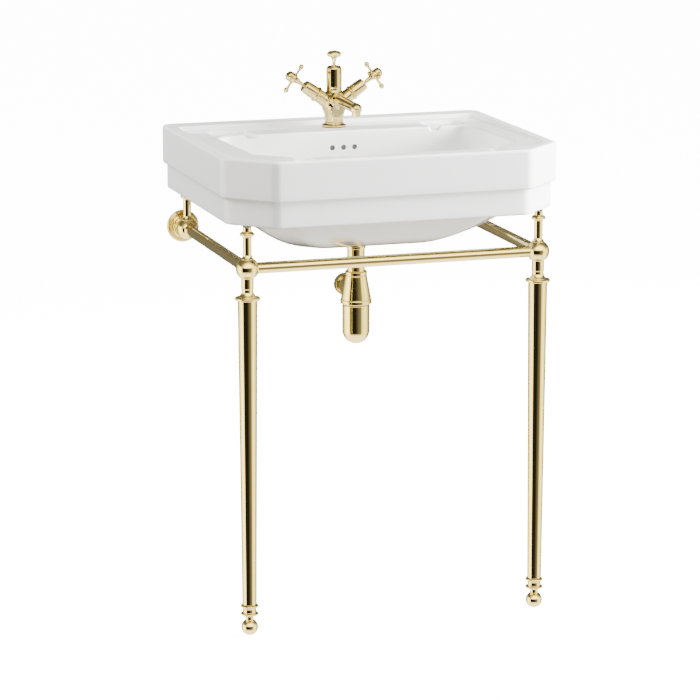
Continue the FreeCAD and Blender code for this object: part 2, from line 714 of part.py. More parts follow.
def make_corner_joint(side):
    """Ball with two rail sockets, its neck, collar and the spigot inside the leg."""
    neck_root = math.sqrt(BALL_R ** 2 - NECK_R ** 2)
    collar_top = -COLLAR_DROP + COLLAR_HEIGHT / 2
    collar_foot = -COLLAR_DROP - COLLAR_HEIGHT / 2
    spigot_r = LEG_TOP_R - TUBE_WALL - SLIP_FIT - LEG_SPIGOT_PLAY
    stem = turned([(0, 0), (NECK_R, -neck_root), (NECK_R, -NECK_DROP),
                   (NECK_FOOT_R, collar_top - EDGE, HOLLOW),
                   (COLLAR_R - WIDE_EDGE, collar_top), (COLLAR_R, -COLLAR_DROP + EDGE, ROUND),
                   (COLLAR_R, -COLLAR_DROP - EDGE), (COLLAR_R - WIDE_EDGE, collar_foot, ROUND),
                   (spigot_r, collar_foot), (spigot_r, collar_foot - LEG_SPIGOT),
                   (0, collar_foot - LEG_SPIGOT)])
    joint = Part.makeSphere(BALL_R).fuse(stem).cut(post_socket())
    for tool in socket_cuts([TO_RIGHT * -side, TO_WALL]):
        joint = joint.cut(tool)
    return placed(joint, V(side * LEG_X, LEG_Y, BALL_HEIGHT))


def make_leg(side):
    """Tapered tube between the collar and the ferrule."""
    inner_top = LEG_TOP_R - TUBE_WALL
    inner_foot = LEG_FOOT_R - TUBE_WALL
    leg = turned([(inner_foot, LEG_FOOT), (LEG_FOOT_R, LEG_FOOT),
                  (LEG_TOP_R, LEG_TOP), (inner_top, LEG_TOP)])
    return placed(leg, V(side * LEG_X, LEG_Y, 0))


def bead(ring_r, root_r, centre, height):
    """Points of one turned ring, from below to above."""
    return [(root_r, centre - height / 2), (ring_r - EDGE, centre - height / 4),
            (ring_r - EDGE, centre + height / 4, BEAD_BOW), (root_r, centre + height / 2)]


def make_ferrule(side):
    """Turned foot of the leg with two rings, tapped below for the levelling foot."""
    low = FERRULE_LOW_RISE - FERRULE_RING_HEIGHT / 2
    top = FERRULE_TOP_RISE + FERRULE_RING_HEIGHT / 2
    spigot_r = LEG_FOOT_R - TUBE_WALL - SLIP_FIT
    hole_r = FOOT_STUD_R + SLIP_FIT
    end = top + FERRULE_SPIGOT
    profile = [(hole_r, low), (FERRULE_WAIST_R - EDGE, low)]
    profile += bead(FERRULE_RING_R, FERRULE_WAIST_R, FERRULE_LOW_RISE, FERRULE_RING_HEIGHT)
    profile += bead(FERRULE_RING_R, FERRULE_WAIST_R, FERRULE_TOP_RISE, FERRULE_RING_HEIGHT)
    profile += [(spigot_r, top), (spigot_r, end), (0, end), (0, end - FERRULE_CAP),
                (hole_r, end - 2 * FERRULE_CAP)]
    return placed(turned(profile), V(side * LEG_X, LEG_Y, FOOT_CENTRE))


def make_foot(side):
    """Levelling foot: a ball, flat where it stands, on a threaded stud."""
    seat = FERRULE_LOW_RISE - FERRULE_RING_HEIGHT / 2
    stud_end = FERRULE_TOP_RISE + FERRULE_RING_HEIGHT / 2 + FERRULE_SPIGOT - FOOT_STUD_SHORT
    stem = turned([(0, 0), (FOOT_NECK_R, 0), (FOOT_NECK_R, seat), (FOOT_STUD_R, seat),
                   (FOOT_STUD_R, stud_end), (0, stud_end)])
    half = FOOT_BALL_R + THROUGH
    below = block(V(-half, -half, -half), V(half, half, -FOOT_CENTRE))
    foot = Part.makeSphere(FOOT_BALL_R).cut(below).fuse(stem)
    return placed(foot, V(side * LEG_X, LEG_Y, FOOT_CENTRE))


def make_front_rail():
    """Round tube between the two corner joints."""
    end = LEG_X - BALL_R + SOCKET_DEPTH
    return tube(RAIL_R, RAIL_R - TUBE_WALL, V(-end, LEG_Y, BALL_HEIGHT), V(end, LEG_Y, BALL_HEIGHT))


def make_side_rail(side):
    """Round tube from a corner joint back to its wall joint."""
    inside = BALL_R - SOCKET_DEPTH
    return tube(RAIL_R, RAIL_R - TUBE_WALL, V(side * LEG_X, LEG_Y + inside, BALL_HEIGHT),
                V(side * LEG_X, WALL_JOINT_Y - inside, BALL_HEIGHT))


def make_wall_joint(side):
    """Ball at the wall with one rail socket, and a neck tapped for the stud in the wall."""
    neck_end = HALF_DEPTH - ROSETTE_DEPTH - WALL_JOINT_Y
    neck_root = math.sqrt(BALL_R ** 2 - WALL_NECK_R ** 2)
    neck = turned([(0, 0), (WALL_NECK_R, neck_root - EDGE), (WALL_NECK_R, neck_end), (0, neck_end)])
    joint = Part.makeSphere(BALL_R).common(block(V(-BALL_R, -BALL_R, -BALL_R), V(BALL_R, neck_end, BALL_R)))
    joint = joint.fuse(placed(neck, V(0, 0, 0), TO_WALL)).cut(post_socket())
    for tool in socket_cuts([TO_FRONT]):
        joint = joint.cut(tool)
    joint = joint.cut(rod(WALL_STUD_R, V(0, neck_end - WALL_STUD_DEPTH, 0), V(0, neck_end + THROUGH, 0)))
    return placed(joint, V(side * LEG_X, WALL_JOINT_Y, BALL_HEIGHT))


def make_rosette(side):
    """Stepped round cover on the wall, bored for the wall stud."""
    hole_r = WALL_STUD_R + WALL_STUD_CLEARANCE
    rosette = turned([(hole_r, 0), (ROSETTE_R, 0), (ROSETTE_R, ROSETTE_LIP),
                      (ROSETTE_CREST_R, ROSETTE_LIP + WIDE_EDGE, ROUND),
                      (ROSETTE_VALLEY_R, ROSETTE_LIP + EDGE, HOLLOW),
                      (ROSETTE_HUB_R, ROSETTE_DEPTH - WIDE_EDGE, HOLLOW),
                      (ROSETTE_HUB_R - WIDE_EDGE, ROSETTE_DEPTH, ROUND), (hole_r, ROSETTE_DEPTH)])
    return placed(rosette, V(side * LEG_X, HALF_DEPTH, BALL_HEIGHT), TO_FRONT)


def make_grub_screws():
    """Set screws from below, two in each corner joint and one in each wall joint."""
    screw = rod(GRUB_R - SLIP_FIT, V(0, 0, -GRUB_LENGTH), V(0, 0, 0))
    hexagon = hex_prism(2 * GRUB_HEX_R * math.cos(math.pi / 6), -GRUB_LENGTH, -GRUB_LENGTH + GRUB_HEX_DEPTH)
    screw = screw.cut(hexagon)
    screws = []
    for side in SIDES.values():
        height = BALL_HEIGHT - RAIL_R
        spots = [V(side * (LEG_X - GRUB_OFFSET), LEG_Y, height),
                 V(side * LEG_X, LEG_Y + GRUB_OFFSET, height),
                 V(side * LEG_X, WALL_JOINT_Y - GRUB_OFFSET, height)]
        screws += [placed(screw, spot) for spot in spots]
    return Part.makeCompound(screws)


def place_post(side, y):
    """A post standing on a ball, its top under the pad."""
    post = make_post(UNDERSIDE - PAD_THICKNESS - BALL_HEIGHT)
    return placed(post, V(side * LEG_X, y, BALL_HEIGHT))


def make_basin_pads():
    """Rubber discs on the four posts, under the basin."""
    pads = []
    for side in SIDES.values():
        for y in (LEG_Y, WALL_JOINT_Y):
            top = V(side * LEG_X, y, UNDERSIDE)
            pads.append(rod(POST_R, top + DOWN * PAD_THICKNESS, top))
    return Part.makeCompound(pads)


# ---------------------------------------------------------------- waste
def make_waste_body():
    """Flanged drain fitting with two overflow windows, threaded for the nut and the tail pipe."""
    seat = BOWL_FLOOR + WASTE_SEAL
    brim = seat + WASTE_FLANGE_HEIGHT
    foot = NUT_FACE
    body = turned([(WASTE_BORE_R, foot), (WASTE_THREAD_R, foot), (WASTE_THREAD_R, seat),
                   (WASTE_FLANGE_R - EDGE, seat), (WASTE_FLANGE_R, seat + EDGE),
                   (WASTE_THREAD_R + WIDE_EDGE, brim, WASTE_FLANGE_BOW), (WASTE_SEAT_R, brim),
                   (WASTE_BORE_R, brim - WASTE_SEAT_DEPTH)])
    window_top = BOWL_FLOOR - FLOOR_CHANNEL_COVER
    window = block(V(-WINDOW_HALF_WIDTH, -WASTE_FLANGE_R, window_top - FLOOR_CHANNEL_HEIGHT),
                   V(WINDOW_HALF_WIDTH, WASTE_FLANGE_R, window_top))
    return placed(body.cut(window), V(0, DRAIN_Y, 0))


def make_fixed_seals():
    """Rubber rings that stay still: at the waste, under the tap and over the trap's cup."""
    bore = WASTE_THREAD_R + SLIP_FIT
    return Part.makeCompound([
        ring(WASTE_FLANGE_R - WIDE_EDGE, DRAIN_HOLE_R, BOWL_FLOOR, BOWL_FLOOR + WASTE_SEAL, y=DRAIN_Y),
        ring(LOWER_SEAL_R, bore, BOSS_FACE - LOWER_SEAL, BOSS_FACE, y=DRAIN_Y),
        ring(TAP_SEAL_R, SHANK_R + SLIP_FIT, DECK, DECK + TAP_SEAL, y=TAP_Y),
        ring(CUP_R - CUP_SEAL_SHY, CUP_R - TRAP_WALL, CONE_FOOT - CUP_SEAL, CONE_FOOT, y=DRAIN_Y)])


def make_waste_backnut():
    """Nut that pulls the waste body down against the bowl."""
    return hex_nut(WASTE_NUT_AF, WASTE_THREAD_R + SLIP_FIT, NUT_FACE, NUT_FACE + WASTE_NUT, DRAIN_Y)


def plug_seat_height():
    """Underside of the plug's head when the plug is raised, as it is at rest."""
    return BOWL_FLOOR + WASTE_SEAL + WASTE_FLANGE_HEIGHT + FREE_GAP + PLUG_TRAVEL


def eye_height():
    """Centre of the plug's eye, whose upper edge rides on the lever at every tilt."""
    tilt = LIFT_TRAVEL / OUTER_ARM
    play = math.tan(tilt) * LOOP_THICKNESS / 2 + 2 * RUNNING_FIT
    return LEVER_HEIGHT + LEVER_R + play - LOOP_HOLE_R


def make_waste_plug():
    """Domed plug on a stem that ends in an eye for the lever."""
    under = plug_seat_height()
    seal_at = under - PLUG_SEAL_R
    root_r = WASTE_BORE_R - PLUG_PLAY
    stem_foot = eye_height() + LOOP_HOLE_R + EDGE
    dome = crown(PLUG_R, PLUG_HEIGHT - PLUG_EDGE)
    plug = turned([(0, stem_foot), (PLUG_STEM_R, stem_foot),
                   (PLUG_STEM_R, under - PLUG_FLARE), (root_r, seal_at - PLUG_SEAL_R, HOLLOW),
                   (root_r, under),
                   (PLUG_R, under), (PLUG_R, under + PLUG_EDGE), (0, under + PLUG_HEIGHT, dome)])
    eye = rod(LOOP_R, V(0, -LOOP_THICKNESS / 2, eye_height()), V(0, LOOP_THICKNESS / 2, eye_height()))
    hole = rod(LOOP_HOLE_R, V(0, -LOOP_R, eye_height()), V(0, LOOP_R, eye_height()))
    return placed(plug.fuse(eye).cut(hole), V(0, DRAIN_Y, 0))


def make_plug_seal():
    """Rubber ring under the plug's head."""
    root_r = WASTE_BORE_R - PLUG_PLAY
    seal_ring = Part.makeTorus(root_r + PLUG_SEAL_R, PLUG_SEAL_R)
    seal_ring = seal_ring.cut(rod(root_r, V(0, 0, -THROUGH), V(0, 0, THROUGH)))
    return placed(seal_ring, V(0, DRAIN_Y, plug_seat_height() - PLUG_SEAL_R))


def make_tail_pipe():
    """Tail pipe screwed into the waste body, with the lever's port at the back."""
    top = TAIL_TOP + WASTE_NUT
    foot = CONE_TOP - TAIL_OVERLAP
    inner = TAIL_R - TAIL_WALL
    axis = V(0, DRAIN_Y, 0)
    pipe = rod(TAIL_R, axis + UP * foot, axis + UP * TAIL_TOP)
    pipe = pipe.fuse(rod(WASTE_BORE_R - SLIP_FIT, axis + UP * TAIL_TOP, axis + UP * top))
    port_end = PIVOT_Y + PIVOT_PLATE_GAP
    pipe = pipe.fuse(rod(PORT_R, V(0, DRAIN_Y, LEVER_HEIGHT), V(0, port_end, LEVER_HEIGHT)))
    pipe = pipe.cut(rod(inner, axis + UP * (foot - THROUGH), axis + UP * (top + THROUGH)))
    return pipe.cut(rod(PORT_BORE_R, V(0, DRAIN_Y, LEVER_HEIGHT), V(0, port_end + THROUGH, LEVER_HEIGHT)))


def make_pivot_nut():
    """Cap nut that holds the lever's ball in the port."""
    plate = PIVOT_Y + PIVOT_PLATE_GAP
    low = V(0, plate - PIVOT_NUT_GRIP, LEVER_HEIGHT)
    nut = rod(PIVOT_NUT_R, low, V(0, plate + PIVOT_PLATE, LEVER_HEIGHT))
    mouth = plate - PIVOT_NUT_GRIP - THROUGH
    nut = nut.cut(rod(PORT_R + SLIP_FIT, V(0, mouth, LEVER_HEIGHT), V(0, plate, LEVER_HEIGHT)))
    nut = nut.cut(rod(PIVOT_HOLE_R, V(0, mouth, LEVER_HEIGHT), V(0, plate + THROUGH, LEVER_HEIGHT)))
    return nut


def make_popup_lever():
    """Ball-pivoted lever from the plug's eye to the lift link."""
    ball = Part.makeSphere(LEVER_BALL_R, V(0, PIVOT_Y, LEVER_HEIGHT))
    tip_y = TAP_Y + LEVER_OUTER_TIP
    arm = rod(LEVER_R, V(0, DRAIN_Y - LEVER_INNER_TIP, LEVER_HEIGHT), V(0, tip_y, LEVER_HEIGHT))
    tip = Part.makeSphere(LEVER_TIP_R, V(0, tip_y, LEVER_HEIGHT))
    return ball.fuse([arm, tip])


# ---------------------------------------------------------------- lift rod
def rod_foot():
    """Height of the lift rod's lower end, inside the link's block."""
    return LEVER_HEIGHT + LINK_LENGTH + EDGE


def make_lift_rod():
    """Straight rod from the knob down to the link."""
    top = PILLAR_TOP + FREE_GAP + KNOB_NECK + KNOB_HEIGHT / 2
    return rod(ROD_R, V(0, TAP_Y, rod_foot()), V(0, TAP_Y, top))


def make_lift_knob():
    """Flattened ball on a trumpet neck, bored for the rod."""
    neck_top = FREE_GAP + KNOB_NECK
    middle = neck_top + KNOB_HEIGHT / 2
    top = neck_top + KNOB_HEIGHT
    knob = turned([(ROD_R + SLIP_FIT, FREE_GAP), (KNOB_NECK_R, FREE_GAP),
                   (KNOB_ROOT_R, neck_top, KNOB_FLARE_BOW),
                   (KNOB_R, middle, KNOB_BOW), (KNOB_R / 2, top - KNOB_CROWN, DOME_BOW),
                   (0, top, crown(KNOB_R / 2, KNOB_CROWN)), (0, middle), (ROD_R + SLIP_FIT, middle)])
    return placed(knob, V(0, TAP_Y, PILLAR_TOP))


def make_lift_link():
    """Flat link with a hole for the lever, hanging from a block clamped on the rod."""
    half = LINK_WIDTH / 2
    low = LEVER_HEIGHT - LINK_TAIL
    shoulder = LEVER_HEIGHT + LINK_LENGTH
    top = shoulder + LINK_BLOCK
    plate = block(V(-half, TAP_Y - LINK_THICKNESS / 2, low), V(half, TAP_Y + LINK_THICKNESS / 2, shoulder))
    clamp = block(V(-half, TAP_Y - half, shoulder), V(half, TAP_Y + half, top))
    link = plate.fuse(clamp)
    link = link.cut(rod(ROD_R + SLIP_FIT, V(0, TAP_Y, rod_foot()), V(0, TAP_Y, top + THROUGH)))
    hole = rod(LINK_HOLE_R, V(0, TAP_Y - LINK_WIDTH, LEVER_HEIGHT), V(0, TAP_Y + LINK_WIDTH, LEVER_HEIGHT))
    return link.cut(hole)


# ---------------------------------------------------------------- tap
def arm_axis(side):
    """Direction of a raised arm."""
    angle = math.radians(ARM_ANGLE)
    return V(side * math.cos(angle), 0, math.sin(angle))


def on_arm(shape, side):
    """A piece made about Z, laid along an arm from the arms' meeting point."""
    return placed(shape, V(0, TAP_Y, BODY_FOOT + ARM_RISE), arm_axis(side))


def spout_nose():
    """Centre of the ball at the spout's end."""
    return V(0, TAP_Y - SPOUT_REACH, BODY_FOOT + SPOUT_RISE - SPOUT_FALL)


def along_spout(run):
    """Point on the spout's axis, at a run from the tap's own axis."""
    meet = V(0, TAP_Y, BODY_FOOT + SPOUT_RISE)
    return meet + (spout_nose() - meet).normalize() * run


def make_tap_base():
    """Round foot of the tap with its threaded shank through the basin."""
    seat = TAP_SEAL
    rim = seat + TAP_FLANGE
    foot = BODY_FOOT - DECK
    shank_foot = seat - SHANK_LENGTH
    base = turned([(SHANK_BORE_R, shank_foot), (SHANK_R, shank_foot), (SHANK_R, seat), (TAP_FLANGE_R, seat),
                   (TAP_FLANGE_R, rim - EDGE), (TAP_FLANGE_R - EDGE, rim, ROUND),
                   (SHANK_R + EDGE, foot, HOLLOW), (SHANK_BORE_R, foot)])
    return placed(base, V(0, TAP_Y, DECK))


def make_tap_body():
    """Hollow casting with two raised arms, a spout boss and a button seat."""
    chamber_top = BODY_RISE - CHAMBER_ROOF
    spigot_foot = BODY_RISE - PILLAR_SPIGOT
    outside = turned([(0, 0), (SHANK_R, 0), (BODY_WAIST_R, BODY_WAIST_RISE),
                      (BODY_R, BODY_SWELL_RISE, TULIP_BOW), (BODY_R, BODY_SHOULDER_RISE, BELLY_BOW),
                      (BODY_TOP_R, BODY_RISE, SHOULDER_BOW), (0, BODY_RISE)])
    body = placed(outside, V(0, TAP_Y, BODY_FOOT))
    for side in SIDES.values():
        arm = turned([(0, 0), (ARM_ROOT_R, 0), (ARM_END_R, ARM_LENGTH, ARM_BOW), (0, ARM_LENGTH)])
        body = body.fuse(on_arm(arm, side))
    body = body.fuse(rod(SPOUT_BOSS_R, along_spout(0), along_spout(SPOUT_BOSS)))
    top = V(0, TAP_Y, BODY_TOP)
    button_at = V(0, TAP_Y, BODY_FOOT + BUTTON_RISE)
    seat = button_at + TO_FRONT * BUTTON_STANDOFF
    inside = turned([(0, -THROUGH), (CHAMBER_R, -THROUGH), (CHAMBER_R, chamber_top - CHAMBER_CORNER),
                     (CHAMBER_R - CHAMBER_CORNER, chamber_top, ROUND), (ROD_R + FREE_GAP, chamber_top),
                     (ROD_R + FREE_GAP, spigot_foot), (PILLAR_SPIGOT_R + SLIP_FIT, spigot_foot),
                     (PILLAR_SPIGOT_R + SLIP_FIT, BODY_RISE + THROUGH), (0, BODY_RISE + THROUGH)])
    cuts = [placed(inside, V(0, TAP_Y, BODY_FOOT)), rod(BODY_TOP_R + SLIP_FIT, top, top + UP * PILLAR_SKIRT)]
    cuts.append(rod(BUTTON_R + SLIP_FIT, seat, seat + TO_FRONT * BODY_R))
    cuts.append(rod(BUTTON_STEM_R + SLIP_FIT, button_at, seat))
    bore = rod(ARM_BORE_R, UP * ARM_BORE_START, UP * (ARM_LENGTH + THROUGH))
    cuts += [on_arm(bore, side) for side in SIDES.values()]
    cuts.append(rod(SPOUT_R + SLIP_FIT, along_spout(SPOUT_ROOT), along_spout(SPOUT_BOSS + THROUGH)))
    cuts.append(rod(SPOUT_BORE_R, along_spout(ROD_R * 2), along_spout(SPOUT_ROOT)))
    for tool in cuts:
        body = body.cut(tool)
    return body


def make_body_button():
    """Plain round plug that closes the front of the body."""
    button = turned([(0, -BUTTON_STEM), (BUTTON_STEM_R, -BUTTON_STEM), (BUTTON_STEM_R, 0), (BUTTON_R, 0),
                     (BUTTON_R, BUTTON_THICKNESS - BUTTON_EDGE),
                     (BUTTON_R - BUTTON_EDGE, BUTTON_THICKNESS, ROUND), (0, BUTTON_THICKNESS)])
    return placed(button, V(0, TAP_Y - BUTTON_STANDOFF, BODY_FOOT + BUTTON_RISE), TO_FRONT)


def make_tap_pillar():
    """Domed pillar on the body, a bush for the lift rod."""
    inner = PILLAR_R - PILLAR_WALL
    roof = PILLAR_HEIGHT - PILLAR_DOME - PILLAR_WALL
    bush = ROD_R + RUNNING_FIT
    pillar = turned([(ROD_R + FREE_GAP, -PILLAR_SPIGOT), (PILLAR_SPIGOT_R, -PILLAR_SPIGOT),
                     (PILLAR_SPIGOT_R, 0),
                     (BODY_TOP_R, 0), (PILLAR_R, PILLAR_SKIRT, PILLAR_SKIRT_BOW),
                     (PILLAR_R, PILLAR_HEIGHT - PILLAR_DOME), (PILLAR_R / 2, PILLAR_HEIGHT - EDGE, ROUND),
                     (bush, PILLAR_HEIGHT, PILLAR_CROWN_BOW),
                     (bush, roof), (inner, roof), (inner, PILLAR_WALL), (ROD_R + FREE_GAP, PILLAR_WALL)])
    return placed(pillar, V(0, TAP_Y, BODY_TOP))


def make_tap_spout():
    """Round spout with a ball nose, bored through to its mouth."""
    root = along_spout(SPOUT_ROOT)
    nose = spout_nose()
    mouth = nose + DOWN * (NOSE_R + THROUGH)
    spout = rod(SPOUT_R, root, nose).fuse(Part.makeSphere(NOSE_R, nose))
    cuts = [rod(SPOUT_BORE_R, root, nose), Part.makeSphere(NOSE_BORE_R, nose)]
    cuts.append(rod(NOZZLE_BORE_R, nose, mouth))
    cuts.append(rod(NOZZLE_R + SLIP_FIT, nose + DOWN * NOZZLE_SEAT, mouth))
    for tool in cuts:
        spout = spout.cut(tool)
    return spout


def make_spout_nozzle():
    """Short ring screwed into the spout's mouth."""
    nose = spout_nose()
    return tube(NOZZLE_R, NOZZLE_BORE_R, nose + DOWN * NOZZLE_SEAT, nose + DOWN * (NOSE_R + NOZZLE_DROP))


def make_clamp_washer():
    """Metal washer under the deck."""
    return ring(CLAMP_R, SHANK_R + SLIP_FIT, ROOF - CLAMP_THICKNESS, ROOF, y=TAP_Y)


def make_tap_backnut():
    """Nut that pulls the shank down."""
    top = ROOF - CLAMP_THICKNESS
    return hex_nut(TAP_NUT_AF, SHANK_R + SLIP_FIT, top - TAP_NUT, top, TAP_Y)


def make_supply_tails():
    """Two copper pipes from the tap's base, spread apart below the basin."""
    top = DECK + SUPPLY_TOP_RISE
    bend = DECK + TAP_SEAL - SHANK_LENGTH - SUPPLY_STRAIGHT
    run = SUPPLY_SPREAD - SUPPLY_X
    tails = []
    for side in SIDES.values():
        path, low = swept_s(side * SUPPLY_X, side * run, top, bend)
        lower_x = side * SUPPLY_SPREAD
        path.append(Part.LineSegment(V(lower_x, TAP_Y, low), V(lower_x, TAP_Y, SUPPLY_END)).toShape())
        wire = Part.Wire(path)
        start = V(side * SUPPLY_X, TAP_Y, top)
        outer = wire.makePipeShell([round_wire(SUPPLY_R, start)], True, False)
        inner = wire.makePipeShell([round_wire(SUPPLY_R - SUPPLY_WALL, start)], True, False)
        tails.append(outer.cut(inner))
    return Part.makeCompound(tails)


def round_wire(radius, centre):
    """Level circle as a wire."""
    return Part.Wire(Part.makeCircle(radius, centre, UP))


def swept_s(x, run, top, bend):
    """Edges of a drop that steps sideways by two equal arcs, and the height where it ends."""
    reach = abs(run)
    turn = math.acos(1 - reach / 2 / SUPPLY_BEND_R)
    sign = 1 if run > 0 else -1
    fall = SUPPLY_BEND_R * math.sin(turn)
    half = SUPPLY_BEND_R * math.sin(turn / 2)
    half_run = SUPPLY_BEND_R * (1 - math.cos(turn / 2))
    middle = V(x + run / 2, TAP_Y, bend - fall)
    end = V(x + run, TAP_Y, bend - 2 * fall)
    start = V(x, TAP_Y, bend)
    edges = [Part.LineSegment(V(x, TAP_Y, top), start).toShape(),
             Part.Arc(start, V(x + sign * half_run, TAP_Y, bend - half), middle).toShape(),
             Part.Arc(middle, V(end.x - sign * half_run, TAP_Y, end.z + half), end).toShape()]
    return edges, end.z


def make_bell(side):
    """Bell cover over the cartridge, with a bead at its root."""
    bead_end = BELL_START + BELL_BEAD
    lid = BELL_END - BELL_LID
    hole_r = SPINDLE_R + FREE_GAP
    bell = turned([(BELL_BORE_R, BELL_START), (BELL_R, BELL_START), (BELL_BEAD_R, BELL_START + EDGE),
                   (BELL_BEAD_R, bead_end - EDGE, BELL_BEAD_BOW), (BELL_R, bead_end),
                   (BELL_END_R, BELL_END - WIDE_EDGE, BELL_BOW), (BELL_END_R - WIDE_EDGE, BELL_END, ROUND),
                   (hole_r, BELL_END), (hole_r, lid), (BELL_BORE_R, lid)])
    return on_arm(bell, side)


def make_cartridge(side):
    """Ceramic-disc cartridge, bored for the spindle."""
    end = BELL_END - BELL_LID
    cartridge = turned([(0, CARTRIDGE_START), (CARTRIDGE_R, CARTRIDGE_START), (CARTRIDGE_R, end),
                        (SPINDLE_R + RUNNING_FIT, end), (SPINDLE_R + RUNNING_FIT, SPINDLE_START - FREE_GAP),
                        (0, SPINDLE_START - FREE_GAP)])
    return on_arm(cartridge, side)


def make_spindle(side):
    """Spindle that the handle turns."""
    return on_arm(rod(SPINDLE_R, UP * SPINDLE_START, UP * (HUB_END - CAP_STEM - SLIP_FIT)), side)


def make_handle(side):
    """Cross handle: a trumpet hub and four arms that end in balls."""
    bore = SPINDLE_R + SLIP_FIT
    hub = turned([(0, HUB_START), (HUB_NECK_R, HUB_START), (HUB_R, CROSS_AT, TRUMPET_BOW),
                  (HUB_R, HUB_END - EDGE, HUB_BOW), (HUB_R - EDGE, HUB_END, ROUND), (0, HUB_END)])
    arm = turned([(0, 0), (CROSS_ARM_R, 0), (CROSS_TIP_R, CROSS_REACH, CROSS_BOW), (0, CROSS_REACH)])
    arm = arm.fuse(Part.makeSphere(CROSS_BALL_R, V(0, 0, CROSS_REACH)))
    for axis in (TO_RIGHT, TO_RIGHT * -1, TO_WALL, TO_FRONT):
        hub = hub.fuse(placed(arm, V(0, 0, CROSS_AT), axis))
    hub = hub.cut(rod(bore, UP * (HUB_START - THROUGH), UP * (HUB_END - CAP_STEM)))
    hub = hub.cut(rod(CAP_STEM_R + SLIP_FIT, UP * (HUB_END - CAP_STEM), UP * (HUB_END + THROUGH)))
    return on_arm(hub, side)


def make_handle_cap(side):
    """Domed cap screwed into the hub."""
    base = HUB_END
    shoulder = base + CAP_LENGTH
    top = shoulder + CAP_DOME
    cap = turned([(0, base - CAP_STEM), (CAP_STEM_R, base - CAP_STEM), (CAP_STEM_R, base),
                  (CAP_R - EDGE, base),
                  (CAP_R, base + EDGE, ROUND), (CAP_R, shoulder), (CAP_R / 2, top - CAP_CROWN, DOME_BOW),
                  (0, top, crown(CAP_R / 2, CAP_CROWN))])
    return on_arm(cap, side)


# ---------------------------------------------------------------- bottle trap
def make_trap_inlet_nut():
    """Ring nut where the tail pipe enters the trap."""
    bore = TAIL_R + SLIP_FIT
    nut = turned([(bore, CONE_TOP), (TRAP_NUT_R - EDGE, CONE_TOP), (TRAP_NUT_R, CONE_TOP + EDGE),
                  (TRAP_NUT_R, TRAP_TOP - WIDE_EDGE), (TRAP_NUT_R - WIDE_EDGE, TRAP_TOP, ROUND),
                  (bore, TRAP_TOP)])
    return placed(nut, V(0, DRAIN_Y, 0))


def make_trap_cone():
    """Tapered upper body with the outlet at the back."""
    inner_top = TAIL_R + SLIP_FIT
    cone = turned([(0, CONE_FOOT), (CONE_FOOT_R - EDGE, CONE_FOOT),
                   (CONE_FOOT_R, CONE_FOOT + CONE_FOOT_DEPTH, CONE_BOW),
                   (CONE_TOP_R, CONE_TOP), (0, CONE_TOP)])
    cone = cone.fuse(rod(OUTLET_R, V(0, 0, OUTLET_HEIGHT), V(0, OUTLET_END, OUTLET_HEIGHT)))
    seat = CONE_TOP - TAIL_OVERLAP
    shoulder = seat - CONE_SHOULDER
    over = CONE_TOP + THROUGH
    under = CONE_FOOT - THROUGH
    inside = turned([(0, under), (CONE_FOOT_R - 2 * TRAP_WALL, under), (CONE_TOP_R - TRAP_WALL, shoulder),
                     (DIP_R + SLIP_FIT, shoulder), (DIP_R + SLIP_FIT, seat), (inner_top, seat),
                     (inner_top, over), (0, over)])
    mouth = OUTLET_END - OUTLET_SOCKET
    inlet = V(0, DIP_R + DIP_CLEARANCE, OUTLET_HEIGHT)
    outlet = rod(OUTLET_BORE_R - TRAP_WALL, inlet, V(0, mouth, OUTLET_HEIGHT))
    socket = rod(OUTLET_BORE_R, V(0, mouth, OUTLET_HEIGHT), V(0, OUTLET_END + THROUGH, OUTLET_HEIGHT))
    return placed(cone.cut(inside).cut(outlet).cut(socket), V(0, DRAIN_Y, 0))


def make_trap_dip_tube():
    """Tube that carries the water down into the cup."""
    top = CONE_TOP - TAIL_OVERLAP
    return tube(DIP_R, DIP_R - TRAP_WALL, V(0, DRAIN_Y, DIP_END), V(0, DRAIN_Y, top))


def make_trap_cup():
    """Round-bottomed cup that unscrews for cleaning."""
    top = CONE_FOOT - CUP_SEAL
    inner = CUP_R - TRAP_WALL
    bend = math.sqrt(0.5)
    edges = [Part.LineSegment(V(CUP_R, 0, top), V(CUP_R, 0, CUP_STRAIGHT_END)).toShape(),
             Part.Arc(V(CUP_R, 0, CUP_STRAIGHT_END), V(CUP_R * bend, 0, CUP_STRAIGHT_END - CUP_R * bend),
                      V(0, 0, CUP_STRAIGHT_END - CUP_R)).toShape(),
             Part.LineSegment(V(0, 0, CUP_STRAIGHT_END - CUP_R),
                              V(0, 0, CUP_STRAIGHT_END - inner)).toShape(),
             Part.Arc(V(0, 0, CUP_STRAIGHT_END - inner), V(inner * bend, 0, CUP_STRAIGHT_END - inner * bend),
                      V(inner, 0, CUP_STRAIGHT_END)).toShape(),
             Part.LineSegment(V(inner, 0, CUP_STRAIGHT_END), V(inner, 0, top)).toShape(),
             Part.LineSegment(V(inner, 0, top), V(CUP_R, 0, top)).toShape()]
    cup = Part.Face(Part.Wire(edges)).revolve(V(0, 0, 0), UP, 360)
    return placed(cup, V(0, DRAIN_Y, 0))


def make_trap_outlet_nut():
    """Ring nut on the mouth of the outlet, clear for the waste pipe."""
    mouth = OUTLET_END
    nut = turned([(OUTLET_R + SLIP_FIT, mouth - OUTLET_NUT), (OUTLET_NUT_R, mouth - OUTLET_NUT),
                  (OUTLET_NUT_R, mouth - EDGE), (OUTLET_NUT_R - EDGE, mouth, ROUND),
                  (OUTLET_R + SLIP_FIT, mouth)])
    return placed(nut, V(0, DRAIN_Y, OUTLET_HEIGHT), TO_WALL)


